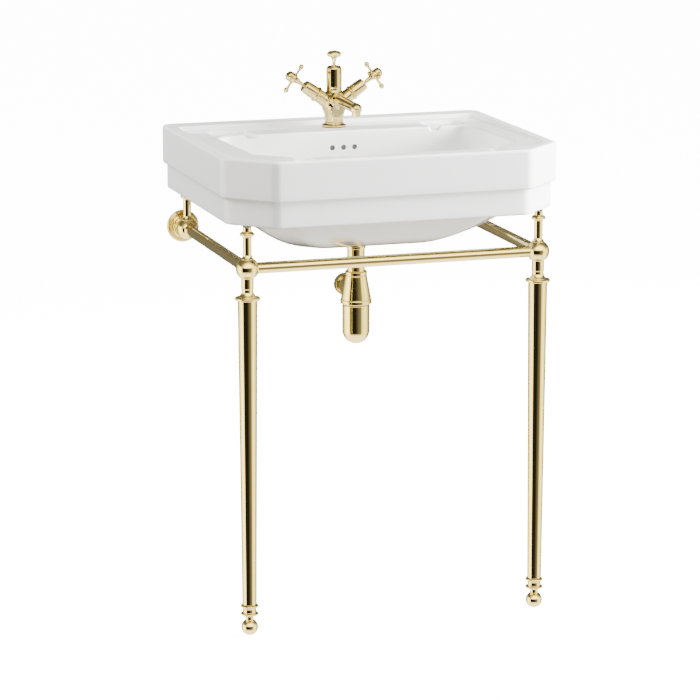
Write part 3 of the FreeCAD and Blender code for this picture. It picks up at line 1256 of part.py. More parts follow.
# ---------------------------------------------------------------- the whole
def make_parts():
    """Every node by name."""
    parts = {"basin_deck": make_basin_deck(), "basin_skirt": make_basin_skirt()}
    parts["basin_bowl"] = make_basin_bowl()
    parts["basin_pads"] = make_basin_pads()
    parts["fixed_seals"] = make_fixed_seals()
    for name, side in SIDES.items():
        parts["corner_joint_" + name] = make_corner_joint(side)
        parts["front_post_" + name] = place_post(side, LEG_Y)
        parts["rear_post_" + name] = place_post(side, WALL_JOINT_Y)
        parts["leg_" + name] = make_leg(side)
        parts["ferrule_" + name] = make_ferrule(side)
        parts["foot_" + name] = make_foot(side)
        parts["side_rail_" + name] = make_side_rail(side)
        parts["wall_joint_" + name] = make_wall_joint(side)
        parts["wall_rosette_" + name] = make_rosette(side)
        parts["bell_" + name] = make_bell(side)
        parts["cartridge_" + name] = make_cartridge(side)
        parts["spindle_" + name] = make_spindle(side)
        parts["handle_" + name] = make_handle(side)
        parts["handle_cap_" + name] = make_handle_cap(side)
    parts["front_rail"] = make_front_rail()
    parts["grub_screws"] = make_grub_screws()
    parts["waste_body"] = make_waste_body()
    parts["waste_backnut"] = make_waste_backnut()
    parts["waste_plug"] = make_waste_plug()
    parts["plug_seal"] = make_plug_seal()
    parts["tail_pipe"] = make_tail_pipe()
    parts["pivot_nut"] = make_pivot_nut()
    parts["popup_lever"] = make_popup_lever()
    parts["lift_rod"] = make_lift_rod()
    parts["lift_knob"] = make_lift_knob()
    parts["lift_link"] = make_lift_link()
    parts["tap_base"] = make_tap_base()
    parts["tap_body"] = make_tap_body()
    parts["body_button"] = make_body_button()
    parts["tap_pillar"] = make_tap_pillar()
    parts["tap_spout"] = make_tap_spout()
    parts["spout_nozzle"] = make_spout_nozzle()
    parts["clamp_washer"] = make_clamp_washer()
    parts["tap_backnut"] = make_tap_backnut()
    parts["supply_tails"] = make_supply_tails()
    parts["trap_inlet_nut"] = make_trap_inlet_nut()
    parts["trap_cone"] = make_trap_cone()
    parts["trap_dip_tube"] = make_trap_dip_tube()
    parts["trap_cup"] = make_trap_cup()
    parts["trap_outlet_nut"] = make_trap_outlet_nut()
    return parts


def main():
    """Write one file per node and print what each holds."""
    os.makedirs("parts", exist_ok=True)
    parts = make_parts()
    whole = FreeCAD.BoundBox()
    for name, shape in parts.items():
        shape.exportStep(os.path.join("parts", name + ".step"))
        whole.add(shape.BoundBox)
        print(name, len(shape.Solids), "solids", shape.isValid(), round(shape.Volume / 1000, 1), "cm3")
    print(len(parts), "nodes", whole)


main()
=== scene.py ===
"""Looks of the console basin: glazed china on a polished brass stand, with mixer, waste and bottle trap.

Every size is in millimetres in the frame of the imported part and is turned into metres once, where a
mesh is made. New pieces are surfaces worked out as whole arrays: profiles turned about an axis, or
closed outlines carried from level to level.
"""
import logging
import math
from dataclasses import dataclass, replace
from enum import Enum
from typing import Sequence

import bmesh
import bpy
import numpy as np
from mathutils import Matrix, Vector


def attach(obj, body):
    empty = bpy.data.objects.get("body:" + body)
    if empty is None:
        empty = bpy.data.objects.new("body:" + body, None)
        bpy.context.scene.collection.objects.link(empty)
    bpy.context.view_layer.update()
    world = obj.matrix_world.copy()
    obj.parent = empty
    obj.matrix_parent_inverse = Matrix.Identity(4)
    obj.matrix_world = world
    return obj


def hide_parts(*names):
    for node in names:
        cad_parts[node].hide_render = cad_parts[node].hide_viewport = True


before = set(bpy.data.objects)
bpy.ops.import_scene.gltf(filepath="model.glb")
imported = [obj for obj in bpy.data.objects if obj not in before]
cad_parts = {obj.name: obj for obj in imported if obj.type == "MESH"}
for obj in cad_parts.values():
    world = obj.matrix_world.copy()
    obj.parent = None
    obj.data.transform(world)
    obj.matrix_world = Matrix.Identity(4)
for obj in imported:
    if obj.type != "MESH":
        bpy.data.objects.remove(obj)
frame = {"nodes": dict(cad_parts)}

LOG = logging.getLogger("console_basin")
Point = tuple[float, ...]
Stops = tuple[Point, ...]
Socket = bpy.types.NodeSocket
MM = 0.001
ROOT_2 = math.sqrt(2.0)
QUARTER = math.pi / 2.0
EIGHTH = math.pi / 4.0
UP = (0.0, 0.0, 1.0)
TO_WALL = (0.0, 1.0, 0.0)
TO_FRONT = (0.0, -1.0, 0.0)
TO_RIGHT = (1.0, 0.0, 0.0)
TO_LEFT = (-1.0, 0.0, 0.0)
# Bulges of a rounded and of a hollow edge, as shares of the chord.
ROUND = 0.2
HOLLOW = -0.2
# Segments of an arc and of an eased corner, and the share of a short run that a corner may take.
ARC_STEPS = 12
EASE_STEPS = 4
EASE_SHARE = 0.4
# A straight run of this many softnesses gets two more rings, this many softnesses from its ends.
LONG_RUN = 8.0
HOLD = 2.5
# Distances in metres under which corners are one, and under which a face has no width.
WELD = 2e-6
NO_WIDTH = 1e-7
CRISP = math.radians(40.0)


class Side(Enum):
    """The two hands of the console, each with its sign of X."""

    LEFT = -1
    RIGHT = 1

    @property
    def word(self) -> str:
        """Word used in node names."""
        return self.name.lower()


# ---- surfaces
@dataclass
class Grid:
    """A surface as rows of points, each row closed on itself.

    Attributes:
        points: Array of rows x columns x 3, in millimetres.
        along: True when the last row joins the first.
    """

    points: np.ndarray
    along: bool = False

    def placed(self, origin: Point, axis: Point = UP) -> "Grid":
        """Copy with its own Z laid on an axis.

        Formula: the shortest turn that takes Z to the axis, then a shift to the origin.

        Args:
            origin: Where the grid's own origin goes.
            axis: Direction that its Z takes.

        Returns:
            The moved grid.
        """
        turn = np.array(Vector(UP).rotation_difference(Vector(axis)).to_matrix())
        return Grid(self.points @ turn.T + np.array(origin), self.along)

    def faces(self, first: int) -> np.ndarray:
        """Corner numbers of every quad, counted from a first vertex.

        Formula: a quad joins a point to the next in its row and to the two above them.

        Args:
            first: Number of the grid's first vertex in the mesh.

        Returns:
            Array of faces x 4.
        """
        rows, cols = self.points.shape[:2]
        row = np.arange(rows if self.along else rows - 1)[:, None]
        col = np.arange(cols)[None, :]
        below = row * cols
        above = (row + 1) % rows * cols
        ahead = (col + 1) % cols
        quads = np.stack([below + col, below + ahead, above + ahead, above + col], axis=-1)
        return quads.reshape(-1, 4) + first


def arc_run(start: np.ndarray, end: np.ndarray, bulge: float) -> np.ndarray:
    """Points from start to end along an arc, or the two ends of a straight run.

    Formula: a quarter of the arc's angle has twice the bulge as its tangent; the centre lies off
    the chord's middle by the radius times the cosine of half the angle.

    Args:
        start: First point, (radius, height).
        end: Last point.
        bulge: Rise over the chord as a share of the chord, positive to the right of travel.

    Returns:
        Array of points x 2.
    """
    if not bulge:
        return np.stack([start, end])
    chord = end - start
    length = float(np.linalg.norm(chord))
    angle = 4.0 * math.atan(2.0 * abs(bulge))
    radius = length / 2.0 / math.sin(angle / 2.0)
    side = np.array([chord[1], -chord[0]]) / length * math.copysign(1.0, bulge)
    centre = (start + end) / 2.0 - side * radius * math.cos(angle / 2.0)
    swing = np.linspace(-angle / 2.0, angle / 2.0, ARC_STEPS + 1)[:, None]
    return centre + radius * (side * np.cos(swing) + chord / length * np.sin(swing))


def eased(way: np.ndarray, soft: float) -> np.ndarray:
    """Step along a run by the softness, or by a share of the run where it is short."""
    length = float(np.linalg.norm(way))
    return way / length * min(soft, EASE_SHARE * length)


def profile(points: Sequence[Point], soft: float, closed: bool) -> np.ndarray:
    """Profile with its arcs drawn out, its corners eased and its long runs held near their ends.

    Formula: each corner C between unit directions u and v becomes the parabola from C - s u to
    C + s v, where s is the softness or four tenths of the shorter neighbouring run.

    Args:
        points: (radius, height) or (radius, height, bulge) of each corner.
        soft: Reach of the eased corner, in millimetres.
        closed: True when the last point runs back to the first.

    Returns:
        Array of points x 2.
    """
    spots = [np.array(point[:2], dtype=float) for point in points]
    bulges = [point[2] if len(point) > 2 else 0.0 for point in points]
    pairs = list(zip(spots, spots[1:] + spots[:1], bulges[1:] + bulges[:1]))
    if not closed:
        pairs = pairs[:-1]
    runs = [arc_run(start, end, bulge) for start, end, bulge in pairs if not np.allclose(start, end)]
    share = np.linspace(0.0, 1.0, EASE_STEPS + 1)[:, None]
    drawn = []
    for index, run in enumerate(runs):
        run = run.copy()
        lead = eased(run[1] - run[0], soft)
        tail = eased(run[-1] - run[-2], soft)
        starts = closed or index > 0
        ends = closed or index < len(runs) - 1
        if starts:
            before = runs[index - 1]
            corner = run[0].copy()
            enter = corner + eased(before[-2] - before[-1], soft)
            run[0] = corner + lead
            drawn.append((1 - share) ** 2 * enter + 2 * share * (1 - share) * corner + share ** 2 * run[0])
        if ends:
            run[-1] = run[-1] - tail
        if len(run) == 2 and np.linalg.norm(run[1] - run[0]) > LONG_RUN * soft:
            run = np.stack([run[0], run[0] + HOLD * lead, run[1] - HOLD * tail, run[1]])
        drawn.append(run[int(starts):len(run) - int(ends)])
    return np.concatenate(drawn)


def turned(points: Sequence[Point], soft: float = 0.3, around: int = 72) -> Grid:
    """Surface of revolution about Z.

    Formula: (r cos a, r sin a, z) for each profile point (r, z) and angle a.

    Args:
        points: Profile corners; it closes on itself unless both ends lie on the axis.
        soft: Reach of the eased corners.
        around: Number of columns.

    Returns:
        The surface.
    """
    closed = points[0][0] > 0.0 or points[-1][0] > 0.0
    line = profile(points, soft, closed)
    angle = np.linspace(0.0, 2.0 * math.pi, around, endpoint=False)
    radius = line[:, 0][:, None]
    height = np.repeat(line[:, 1][:, None], around, axis=1)
    return Grid(np.stack([radius * np.cos(angle), radius * np.sin(angle), height], axis=-1), closed)


def bar(radius: float, start: Point, end: Point, soft: float = 0.5) -> Grid:
    """Solid round bar between two points, its ends eased.

    Formula: a rectangle turned about the line between the points.

    Args:
        radius: Bar radius.
        start: Centre of one end.
        end: Centre of the other end.
        soft: Reach of the eased edges.

    Returns:
        The surface.
    """
    span = np.array(end, dtype=float) - np.array(start, dtype=float)
    length = float(np.linalg.norm(span))
    shape = turned([(0, 0), (radius, 0), (radius, length), (0, length)], soft, 48)
    return shape.placed(start, tuple(span / length))


def crown(radius: float, height: float) -> float:
    """Bulge of a last stretch that meets the axis square, as a round crown does."""
    return math.tan(math.atan(height / radius) / 2.0) / 2.0


def rise(values: np.ndarray, low: float, high: float) -> np.ndarray:
    """Soft step: zero below low, one above high, and three squares less two cubes between."""
    share = np.clip((values - low) / (high - low), 0.0, 1.0)
    return share * share * (3.0 - 2.0 * share)


def capped(rows: Sequence[np.ndarray]) -> Grid:
    """Closed form from stacked level loops, its two ends drawn to their middles.

    Formula: the first and the last loop are each followed by a loop that is shrunk to its mean.

    Args:
        rows: Loops of columns x 3.

    Returns:
        The surface.
    """
    low, high = (np.repeat(row.mean(axis=0)[None, :], len(row), axis=0) for row in (rows[0], rows[-1]))
    return Grid(np.stack([low, *rows, high]))


# ---- meshes
def linked(name: str, data: bpy.types.ID) -> bpy.types.Object:
    """New object in the scene.

    Args:
        name: Its name.
        data: Its mesh, lamp or camera.

    Returns:
        The object.
    """
    item = bpy.data.objects.new(name, data)
    bpy.context.scene.collection.objects.link(item)
    return item


def closed_mesh(name: str, grids: Sequence[Grid]) -> bpy.types.Mesh:
    """Mesh of closed surfaces, its poles and seams welded and its faces turned outwards.

    Args:
        name: Its name.
        grids: Its surfaces.

    Returns:
        The mesh, in metres.
    """
    starts = np.cumsum([0] + [grid.points.size // 3 for grid in grids])
    corners = np.concatenate([grid.points.reshape(-1, 3) for grid in grids]) * MM
    quads = np.concatenate([grid.faces(int(first)) for grid, first in zip(grids, starts)])
    mesh = bpy.data.meshes.new(name)
    mesh.from_pydata(corners.tolist(), [], quads.tolist())
    work = bmesh.new()
    work.from_mesh(mesh)
    bmesh.ops.remove_doubles(work, verts=work.verts, dist=WELD)
    bmesh.ops.dissolve_degenerate(work, dist=NO_WIDTH, edges=work.edges)
    bmesh.ops.recalc_face_normals(work, faces=work.faces)
    work.to_mesh(mesh)
    work.free()
    return mesh


def bake(item: bpy.types.Object) -> None:
    """Apply an object's modifiers and drop the mesh that it had before.

    Args:
        item: The object.
    """
    shape = bpy.context.evaluated_depsgraph_get()
    shape.update()
    baked = bpy.data.meshes.new_from_object(item.evaluated_get(shape))
    item.modifiers.clear()
    old = item.data
    item.data = baked
    bpy.data.meshes.remove(old)
    baked.name = item.name


# ---- finishes
@dataclass
class Nodes:
    """Nodes of a material or of the world.

    Attributes:
        tree: Their tree.
    """

    tree: bpy.types.NodeTree

    def add(self, kind: str, inputs: dict[str | int, object] | None = None, **settings: str) -> bpy.types.Node:
        """New node.

        Args:
            kind: Its type.
            inputs: Value of each input, or the socket that it reads.
            settings: Its own settings.

        Returns:
            The node.
        """
        node = self.tree.nodes.new(kind)
        for name, value in settings.items():
            setattr(node, name, value)
        for name, value in (inputs or {}).items():
            if isinstance(value, Socket):
                self.tree.links.new(value, node.inputs[name])
            else:
                node.inputs[name].default_value = value
        return node

    def noise(self, place: Socket, cell: Point) -> Socket:
        """Noise of so many cells per metre and octaves."""
        values = {"Vector": place, "Scale": cell[0], "Detail": cell[1]}
        return self.add("ShaderNodeTexNoise", values).outputs["Fac"]

    def unit(self, value: Socket) -> Socket:
        """A direction's part, from minus one to one, brought to zero to one."""
        return self.add("ShaderNodeMapRange", {"Value": value, "From Min": -1.0}).outputs["Result"]

    def mix(self, share: Socket, low: Point | Socket, high: Point | Socket) -> Socket:
        """Mix of two colours: low plus the share times the way to high."""
        ends = [(*end, 1.0) if isinstance(end, tuple) else end for end in (low, high)]
        return self.add("ShaderNodeMix", {0: share, 6: ends[0], 7: ends[1]}, data_type="RGBA").outputs[2]

    def ramp(self, value: Socket, stops: Stops, tint: Point = (1.0, 1.0, 1.0)) -> Socket:
        """Ramp over a value.

        Formula: a stop's brightness times white, which nears the tint as the brightness nears one.

        Args:
            value: What it reads.
            stops: (place, brightness) of each stop.
            tint: Colour of the stops that are brighter than one.

        Returns:
            The ramp's colour.
        """
        high = max(level for _, level in stops)
        node = self.add("ShaderNodeValToRGB", {"Fac": value})
        marks = node.color_ramp.elements
        while len(marks) < len(stops):
            marks.new(1.0)
        for mark, (place, level) in zip(marks, stops):
            mark.position = place
            mark.color = (*(level / high * (1.0 - min(level, 1.0) * (1.0 - share)) for share in tint), 1.0)
        return self.add("ShaderNodeVectorMath", {0: node.outputs["Color"], "Scale": high},
                        operation="SCALE").outputs["Vector"]


def blank(name: str, inputs: dict[str, object]) -> tuple[bpy.types.Material, bpy.types.Node]:
    """New material with its main shader set.

    Args:
        name: Its name.
        inputs: Value of each input of the shader.

    Returns:
        The material and its shader.
    """
    material = bpy.data.materials.new(name)
    material.use_nodes = True
    shader = next(node for node in material.node_tree.nodes if node.type == "BSDF_PRINCIPLED")
    for key, value in inputs.items():
        shader.inputs[key].default_value = value
    return material, shader


@dataclass(frozen=True)
class Gloss:
    """One procedural finish. A noise is (cells per metre, octaves).

    Attributes:
        name: Material name.
        slot: Slot of the record that it stands for; not used.
        pale: Linear colour where the noise is high.
        deep: Linear colour where it is low.
        metallic: One for metal.
        rough_low: Roughness of the best polished spots.
        rough_high: Roughness of the dullest spots.
        tint: Noise that mixes the two colours.
        wear: Noise that moves the roughness.
        grain: Noise that lifts the surface.
        lift: Height of that grain, in millimetres.
        coat: Weight of a clear glaze over the body.
        turns: Scale of a thread's rings, which then lift the surface, or zero.
    """

    name: str
    slot: str
    pale: Point
    deep: Point
    metallic: float = 0.0
    rough_low: float = 0.1
    rough_high: float = 0.2
    tint: Point = (14.0, 3.0)
    wear: Point = (45.0, 3.0)
    grain: Point = (900.0, 2.0)
    lift: float = 0.0
    coat: float = 0.0
    turns: float = 0.0

    WEAR_LOW = 0.3
    WEAR_HIGH = 0.7
    GLASS_IOR = 1.5
    GLAZE_ROUGH = 0.03

    def build(self) -> bpy.types.Material:
        """Make the node material.

        Returns:
            The material, ready to assign.
        """
        material, shader = blank(self.name, {"Metallic": self.metallic, "IOR": self.GLASS_IOR,
                                             "Coat Weight": self.coat, "Coat Roughness": self.GLAZE_ROUGH})
        net = Nodes(material.node_tree)
        place = net.add("ShaderNodeTexCoord").outputs["Object"]
        colour = net.mix(net.noise(place, self.tint), self.deep, self.pale)
        spread = net.add("ShaderNodeMapRange", {
            "Value": net.noise(place, self.wear), "From Min": self.WEAR_LOW, "From Max": self.WEAR_HIGH,
            "To Min": self.rough_low, "To Max": self.rough_high})
        net.tree.links.new(colour, shader.inputs["Base Color"])
        net.tree.links.new(spread.outputs["Result"], shader.inputs["Roughness"])
        if self.lift:
            net.tree.links.new(self.relief(net, place), shader.inputs["Normal"])
        return material

    def relief(self, net: Nodes, place: Socket) -> Socket:
        """Relief: rings of a thread where the finish has turns, otherwise its grain.

        Args:
            net: Nodes of the material.
            place: Object coordinates.

        Returns:
            The lifted normal.
        """
        if self.turns:
            height = net.add("ShaderNodeTexWave", {"Vector": place, "Scale": self.turns},
                             bands_direction="Z").outputs["Fac"]
        else:
            height = net.noise(place, self.grain)
        return net.add("ShaderNodeBump", {"Height": height, "Strength": 1.0,
                                          "Distance": self.lift * MM}).outputs["Normal"]


class Finish(Enum):
    """Every finish on the console."""

    CHINA = Gloss("china_glaze", "glazed_china", (0.86, 0.86, 0.85), (0.83, 0.83, 0.82),
                  rough_low=0.06, rough_high=0.10, tint=(6.0, 2.0), wear=(9.0, 2.0),
                  grain=(26.0, 1.0), lift=0.035, coat=0.4)
    # Painted shade: near-black glaze for the plugs set in the overflow's holes, standing for the shade inside
    # them.
    SHADE = Gloss("overflow_shade", "glazed_china", (0.075, 0.075, 0.078), (0.045, 0.045, 0.048),
                  rough_low=0.5, rough_high=0.7, tint=(60.0, 3.0), grain=(700.0, 3.0), lift=0.01)
    BRASS = Gloss("mirror_brass", "polished_brass", (0.90, 0.74, 0.295), (0.86, 0.70, 0.27), metallic=1.0,
                  rough_low=0.035, rough_high=0.085, tint=(18.0, 3.0), wear=(60.0, 3.0))
    # Painted shade: a darker copy of the mirror brass for the tap, its colour dimmed to stand for darker
    # reflections on the same metal.
    TAP_BRASS = Gloss("tap_brass", "polished_brass", (0.62, 0.505, 0.20), (0.58, 0.465, 0.18), metallic=1.0,
                      rough_low=0.03, rough_high=0.07, tint=(30.0, 3.0), wear=(80.0, 3.0))
    # Front button: its satin roughness is real, and its dark olive colour is a painted reflection of the
    # spout's underside.
    SATIN_PAINTED_REFLECTION = Gloss("satin_brass_painted_reflection", "polished_brass", (0.42, 0.35, 0.17), (0.36, 0.30, 0.14), metallic=1.0,
                  rough_low=0.24, rough_high=0.34, tint=(120.0, 3.0), wear=(200.0, 3.0))
    MACHINED = Gloss("lathe_brass", "raw_brass", (0.62, 0.45, 0.20), (0.50, 0.35, 0.15), metallic=1.0,
                     rough_low=0.22, rough_high=0.38, tint=(40.0, 3.0), grain=(1200.0, 3.0), lift=0.01)
    THREAD = Gloss("thread_brass", "raw_brass", (0.62, 0.45, 0.20), (0.48, 0.33, 0.14), metallic=1.0,
                   rough_low=0.25, rough_high=0.40, lift=0.5, turns=105.0)
    COPPER = Gloss("pipe_copper", "copper_tube", (0.78, 0.40, 0.27), (0.66, 0.30, 0.19), metallic=1.0,
                   rough_low=0.18, rough_high=0.32, tint=(25.0, 3.0), grain=(500.0, 3.0), lift=0.006)
    RUBBER = Gloss("seal_rubber", "black_rubber", (0.030, 0.030, 0.031), (0.018, 0.018, 0.019),
                   rough_low=0.55, rough_high=0.75, grain=(1500.0, 3.0), lift=0.02)
    # Painted shade: dark brown finish for the plug in the spout's bore, standing for the shade inside it.
    DARK = Gloss("bore_shade", "raw_brass", (0.055, 0.042, 0.020), (0.030, 0.022, 0.010), metallic=0.6,
                 rough_low=0.45, rough_high=0.65, grain=(700.0, 3.0), lift=0.01)

    def material(self) -> bpy.types.Material:
        """The finish's material, made once."""
        return bpy.data.materials.get(self.value.name) or self.value.build()


# ---- pieces
@dataclass
class Piece:
    """One new object made of closed surfaces.

    Attributes:
        name: Object name.
        grids: Its surfaces.
        nodes: CAD nodes that it stands for.
        finish: Its finish.
        body: CAD body that it rides on.
        melt: Voxel size in millimetres that runs the surfaces into one casting, or zero.
        ease: Rounds of smoothing after melting.
        bores: Surfaces that are cut out of it.
    """

    name: str
    grids: Sequence[Grid]
    nodes: Sequence[str] = ()
    finish: Finish = Finish.BRASS
    body: str = "console"
    melt: float = 0.0
    ease: int = 12
    bores: Sequence[Grid] = ()

    def make(self) -> None:
        """Build the mesh, dress it and hang it on its body."""
        mesh = closed_mesh(self.name, self.grids)
        mesh.materials.append(self.finish.material())
        item = linked(self.name, mesh)
        if self.melt:
            self.run_together(item)
        item.data.polygons.foreach_set("use_smooth", np.ones(len(item.data.polygons), dtype=bool))
        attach(item, self.body)
        if self.nodes:
            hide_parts(*self.nodes)
        if self.bores:
            self.bore(item)
        LOG.info("made %s: %d faces", self.name, len(item.data.polygons))

    def run_together(self, item: bpy.types.Object) -> None:
        """Melt overlapping surfaces into one skin with soft roots.

        Args:
            item: The object that holds them.
        """
        remesh = item.modifiers.new("casting", "REMESH")
        remesh.mode = "VOXEL"
        remesh.voxel_size = self.melt * MM
        smooth = item.modifiers.new("ease", "SMOOTH")
        smooth.factor = 0.5
        smooth.iterations = self.ease
        bake(item)

    def bore(self, item: bpy.types.Object) -> None:
        """Cut the bores out and keep the new edges crisp.

        Args:
            item: The object to bore.
        """
        cutter = linked("bore_tools", closed_mesh("bore_tools", self.bores))
        cut = item.modifiers.new("bore", "BOOLEAN")
        cut.operation = "DIFFERENCE"
        cut.solver = "EXACT"
        cut.object = cutter
        bake(item)
        bpy.data.objects.remove(cutter)
        item.data.set_sharp_from_angle(angle=CRISP)


# ---- china
@dataclass
class Plan:
    """Level outline: square at the wall, canted at the two front corners.

    Attributes:
        half_width: Half of its width.
        front: Y of the front edge.
        back: Y of the back edge.
        cant: Length cut off each front corner, along both sides.
        vertex_r: Rounding of the canted corners.
        back_r: Rounding of the two back corners.
        wide: True for outlines outside the bowl, whose back edge runs past the dense columns.
    """

    half_width: float
    front: float
    back: float
    cant: float
    vertex_r: float
    back_r: float
    wide: bool = False

    EVEN_HALF = 150.0
    EVEN_COLUMNS = 25
    DENSE_HALF = 208.0
    DENSE_COLUMNS = 32
    LEAD_COLUMNS = 10
    CORNER_COLUMNS = 44
    SIDE_COLUMNS = 30
    CANT_COLUMNS = 10
    FRONT_COLUMNS = 20
    VERTEX_COLUMNS = 14

    def grown(self, reach: float) -> "Plan":
        """Outline moved outwards on every side.

        Formula: the cant grows by the reach times two less the root of two.

        Args:
            reach: Distance, negative to shrink.

        Returns:
            The moved outline.
        """
        return replace(self, half_width=self.half_width + reach, front=self.front - reach,
                       back=self.back + reach, cant=self.cant + reach * (2.0 - ROOT_2))

    def loop(self) -> np.ndarray:
        """Points round the outline, the same count and order for every plan.

        Formula: stations from the middle of the back to the middle of the front, then their mirror
        image in X in the other order.

        Returns:
            Array of columns x 2.
        """
        side_top = np.array([-self.half_width, self.back - self.back_r])
        middle = np.array([0.0, self.front])
        reach = self.vertex_r * math.tan(EIGHTH / 2.0)
        first = self.arc(self.vertex_r - self.half_width, self.front + self.cant + reach, 4)
        second = self.arc(self.cant + reach - self.half_width, self.front + self.vertex_r, 5)
        half = np.concatenate([self.back_run(), self.run(side_top, first[0], self.SIDE_COLUMNS), first,
                               self.run(first[-1], second[0], self.CANT_COLUMNS)[1:], second,
                               self.run(second[-1], middle, self.FRONT_COLUMNS)[1:], [middle]])
        return np.concatenate([half, half[-2:0:-1] * np.array([-1.0, 1.0])])

    def back_run(self) -> np.ndarray:
        """Stations along the back edge and round the back corner.

        Formula: even stations at the middle and dense ones to the bowl's end, stretched to the edge
        inside the bowl or carried on outside it, then a quarter circle.

        Returns:
            Array of points x 2.
        """
        reach = self.half_width - self.back_r
        stations = np.concatenate([np.linspace(0.0, self.EVEN_HALF, self.EVEN_COLUMNS + 1)[:-1],
                                   np.linspace(self.EVEN_HALF, self.DENSE_HALF, self.DENSE_COLUMNS)])
        lead = self.LEAD_COLUMNS if self.wide else 0
        if self.wide:
            stations = np.concatenate([stations, np.linspace(self.DENSE_HALF, reach, lead + 1)[1:]])
        else:
            stations = stations * (reach / self.DENSE_HALF)
        straight = np.stack([-stations, np.full(len(stations), self.back)], axis=1)
        swing = np.linspace(0.0, QUARTER, self.CORNER_COLUMNS - lead + 1)[1:-1]
        arc = np.stack([-reach - self.back_r * np.sin(swing),
                        self.back - self.back_r * (1.0 - np.cos(swing))], axis=1)
        return np.concatenate([straight, arc])

    def arc(self, x: float, y: float, turn: int) -> np.ndarray:
        """Rounding of a canted corner: an eighth of a circle about a centre, after so many eighths."""
        swing = np.linspace(turn, turn + 1, self.VERTEX_COLUMNS)[:, None] * EIGHTH
        return np.array([x, y]) + self.vertex_r * np.hstack([np.cos(swing), np.sin(swing)])

    def run(self, start: np.ndarray, end: np.ndarray, count: int) -> np.ndarray:
        """Even points on a straight run, without its end."""
        return start + (end - start) * np.linspace(0.0, 1.0, count + 1)[:-1, None]

    def at(self, height: float) -> np.ndarray:
        """The outline at one height."""
        loop = self.loop()
        return np.column_stack([loop, np.full(len(loop), height)])


def blend(start: np.ndarray, end: np.ndarray, count: int) -> list[np.ndarray]:
    """Rows between two loops, both left out: start plus the share times the way to the end."""
    return [start + (end - start) * share for share in np.linspace(0.0, 1.0, count + 2)[1:-1]]


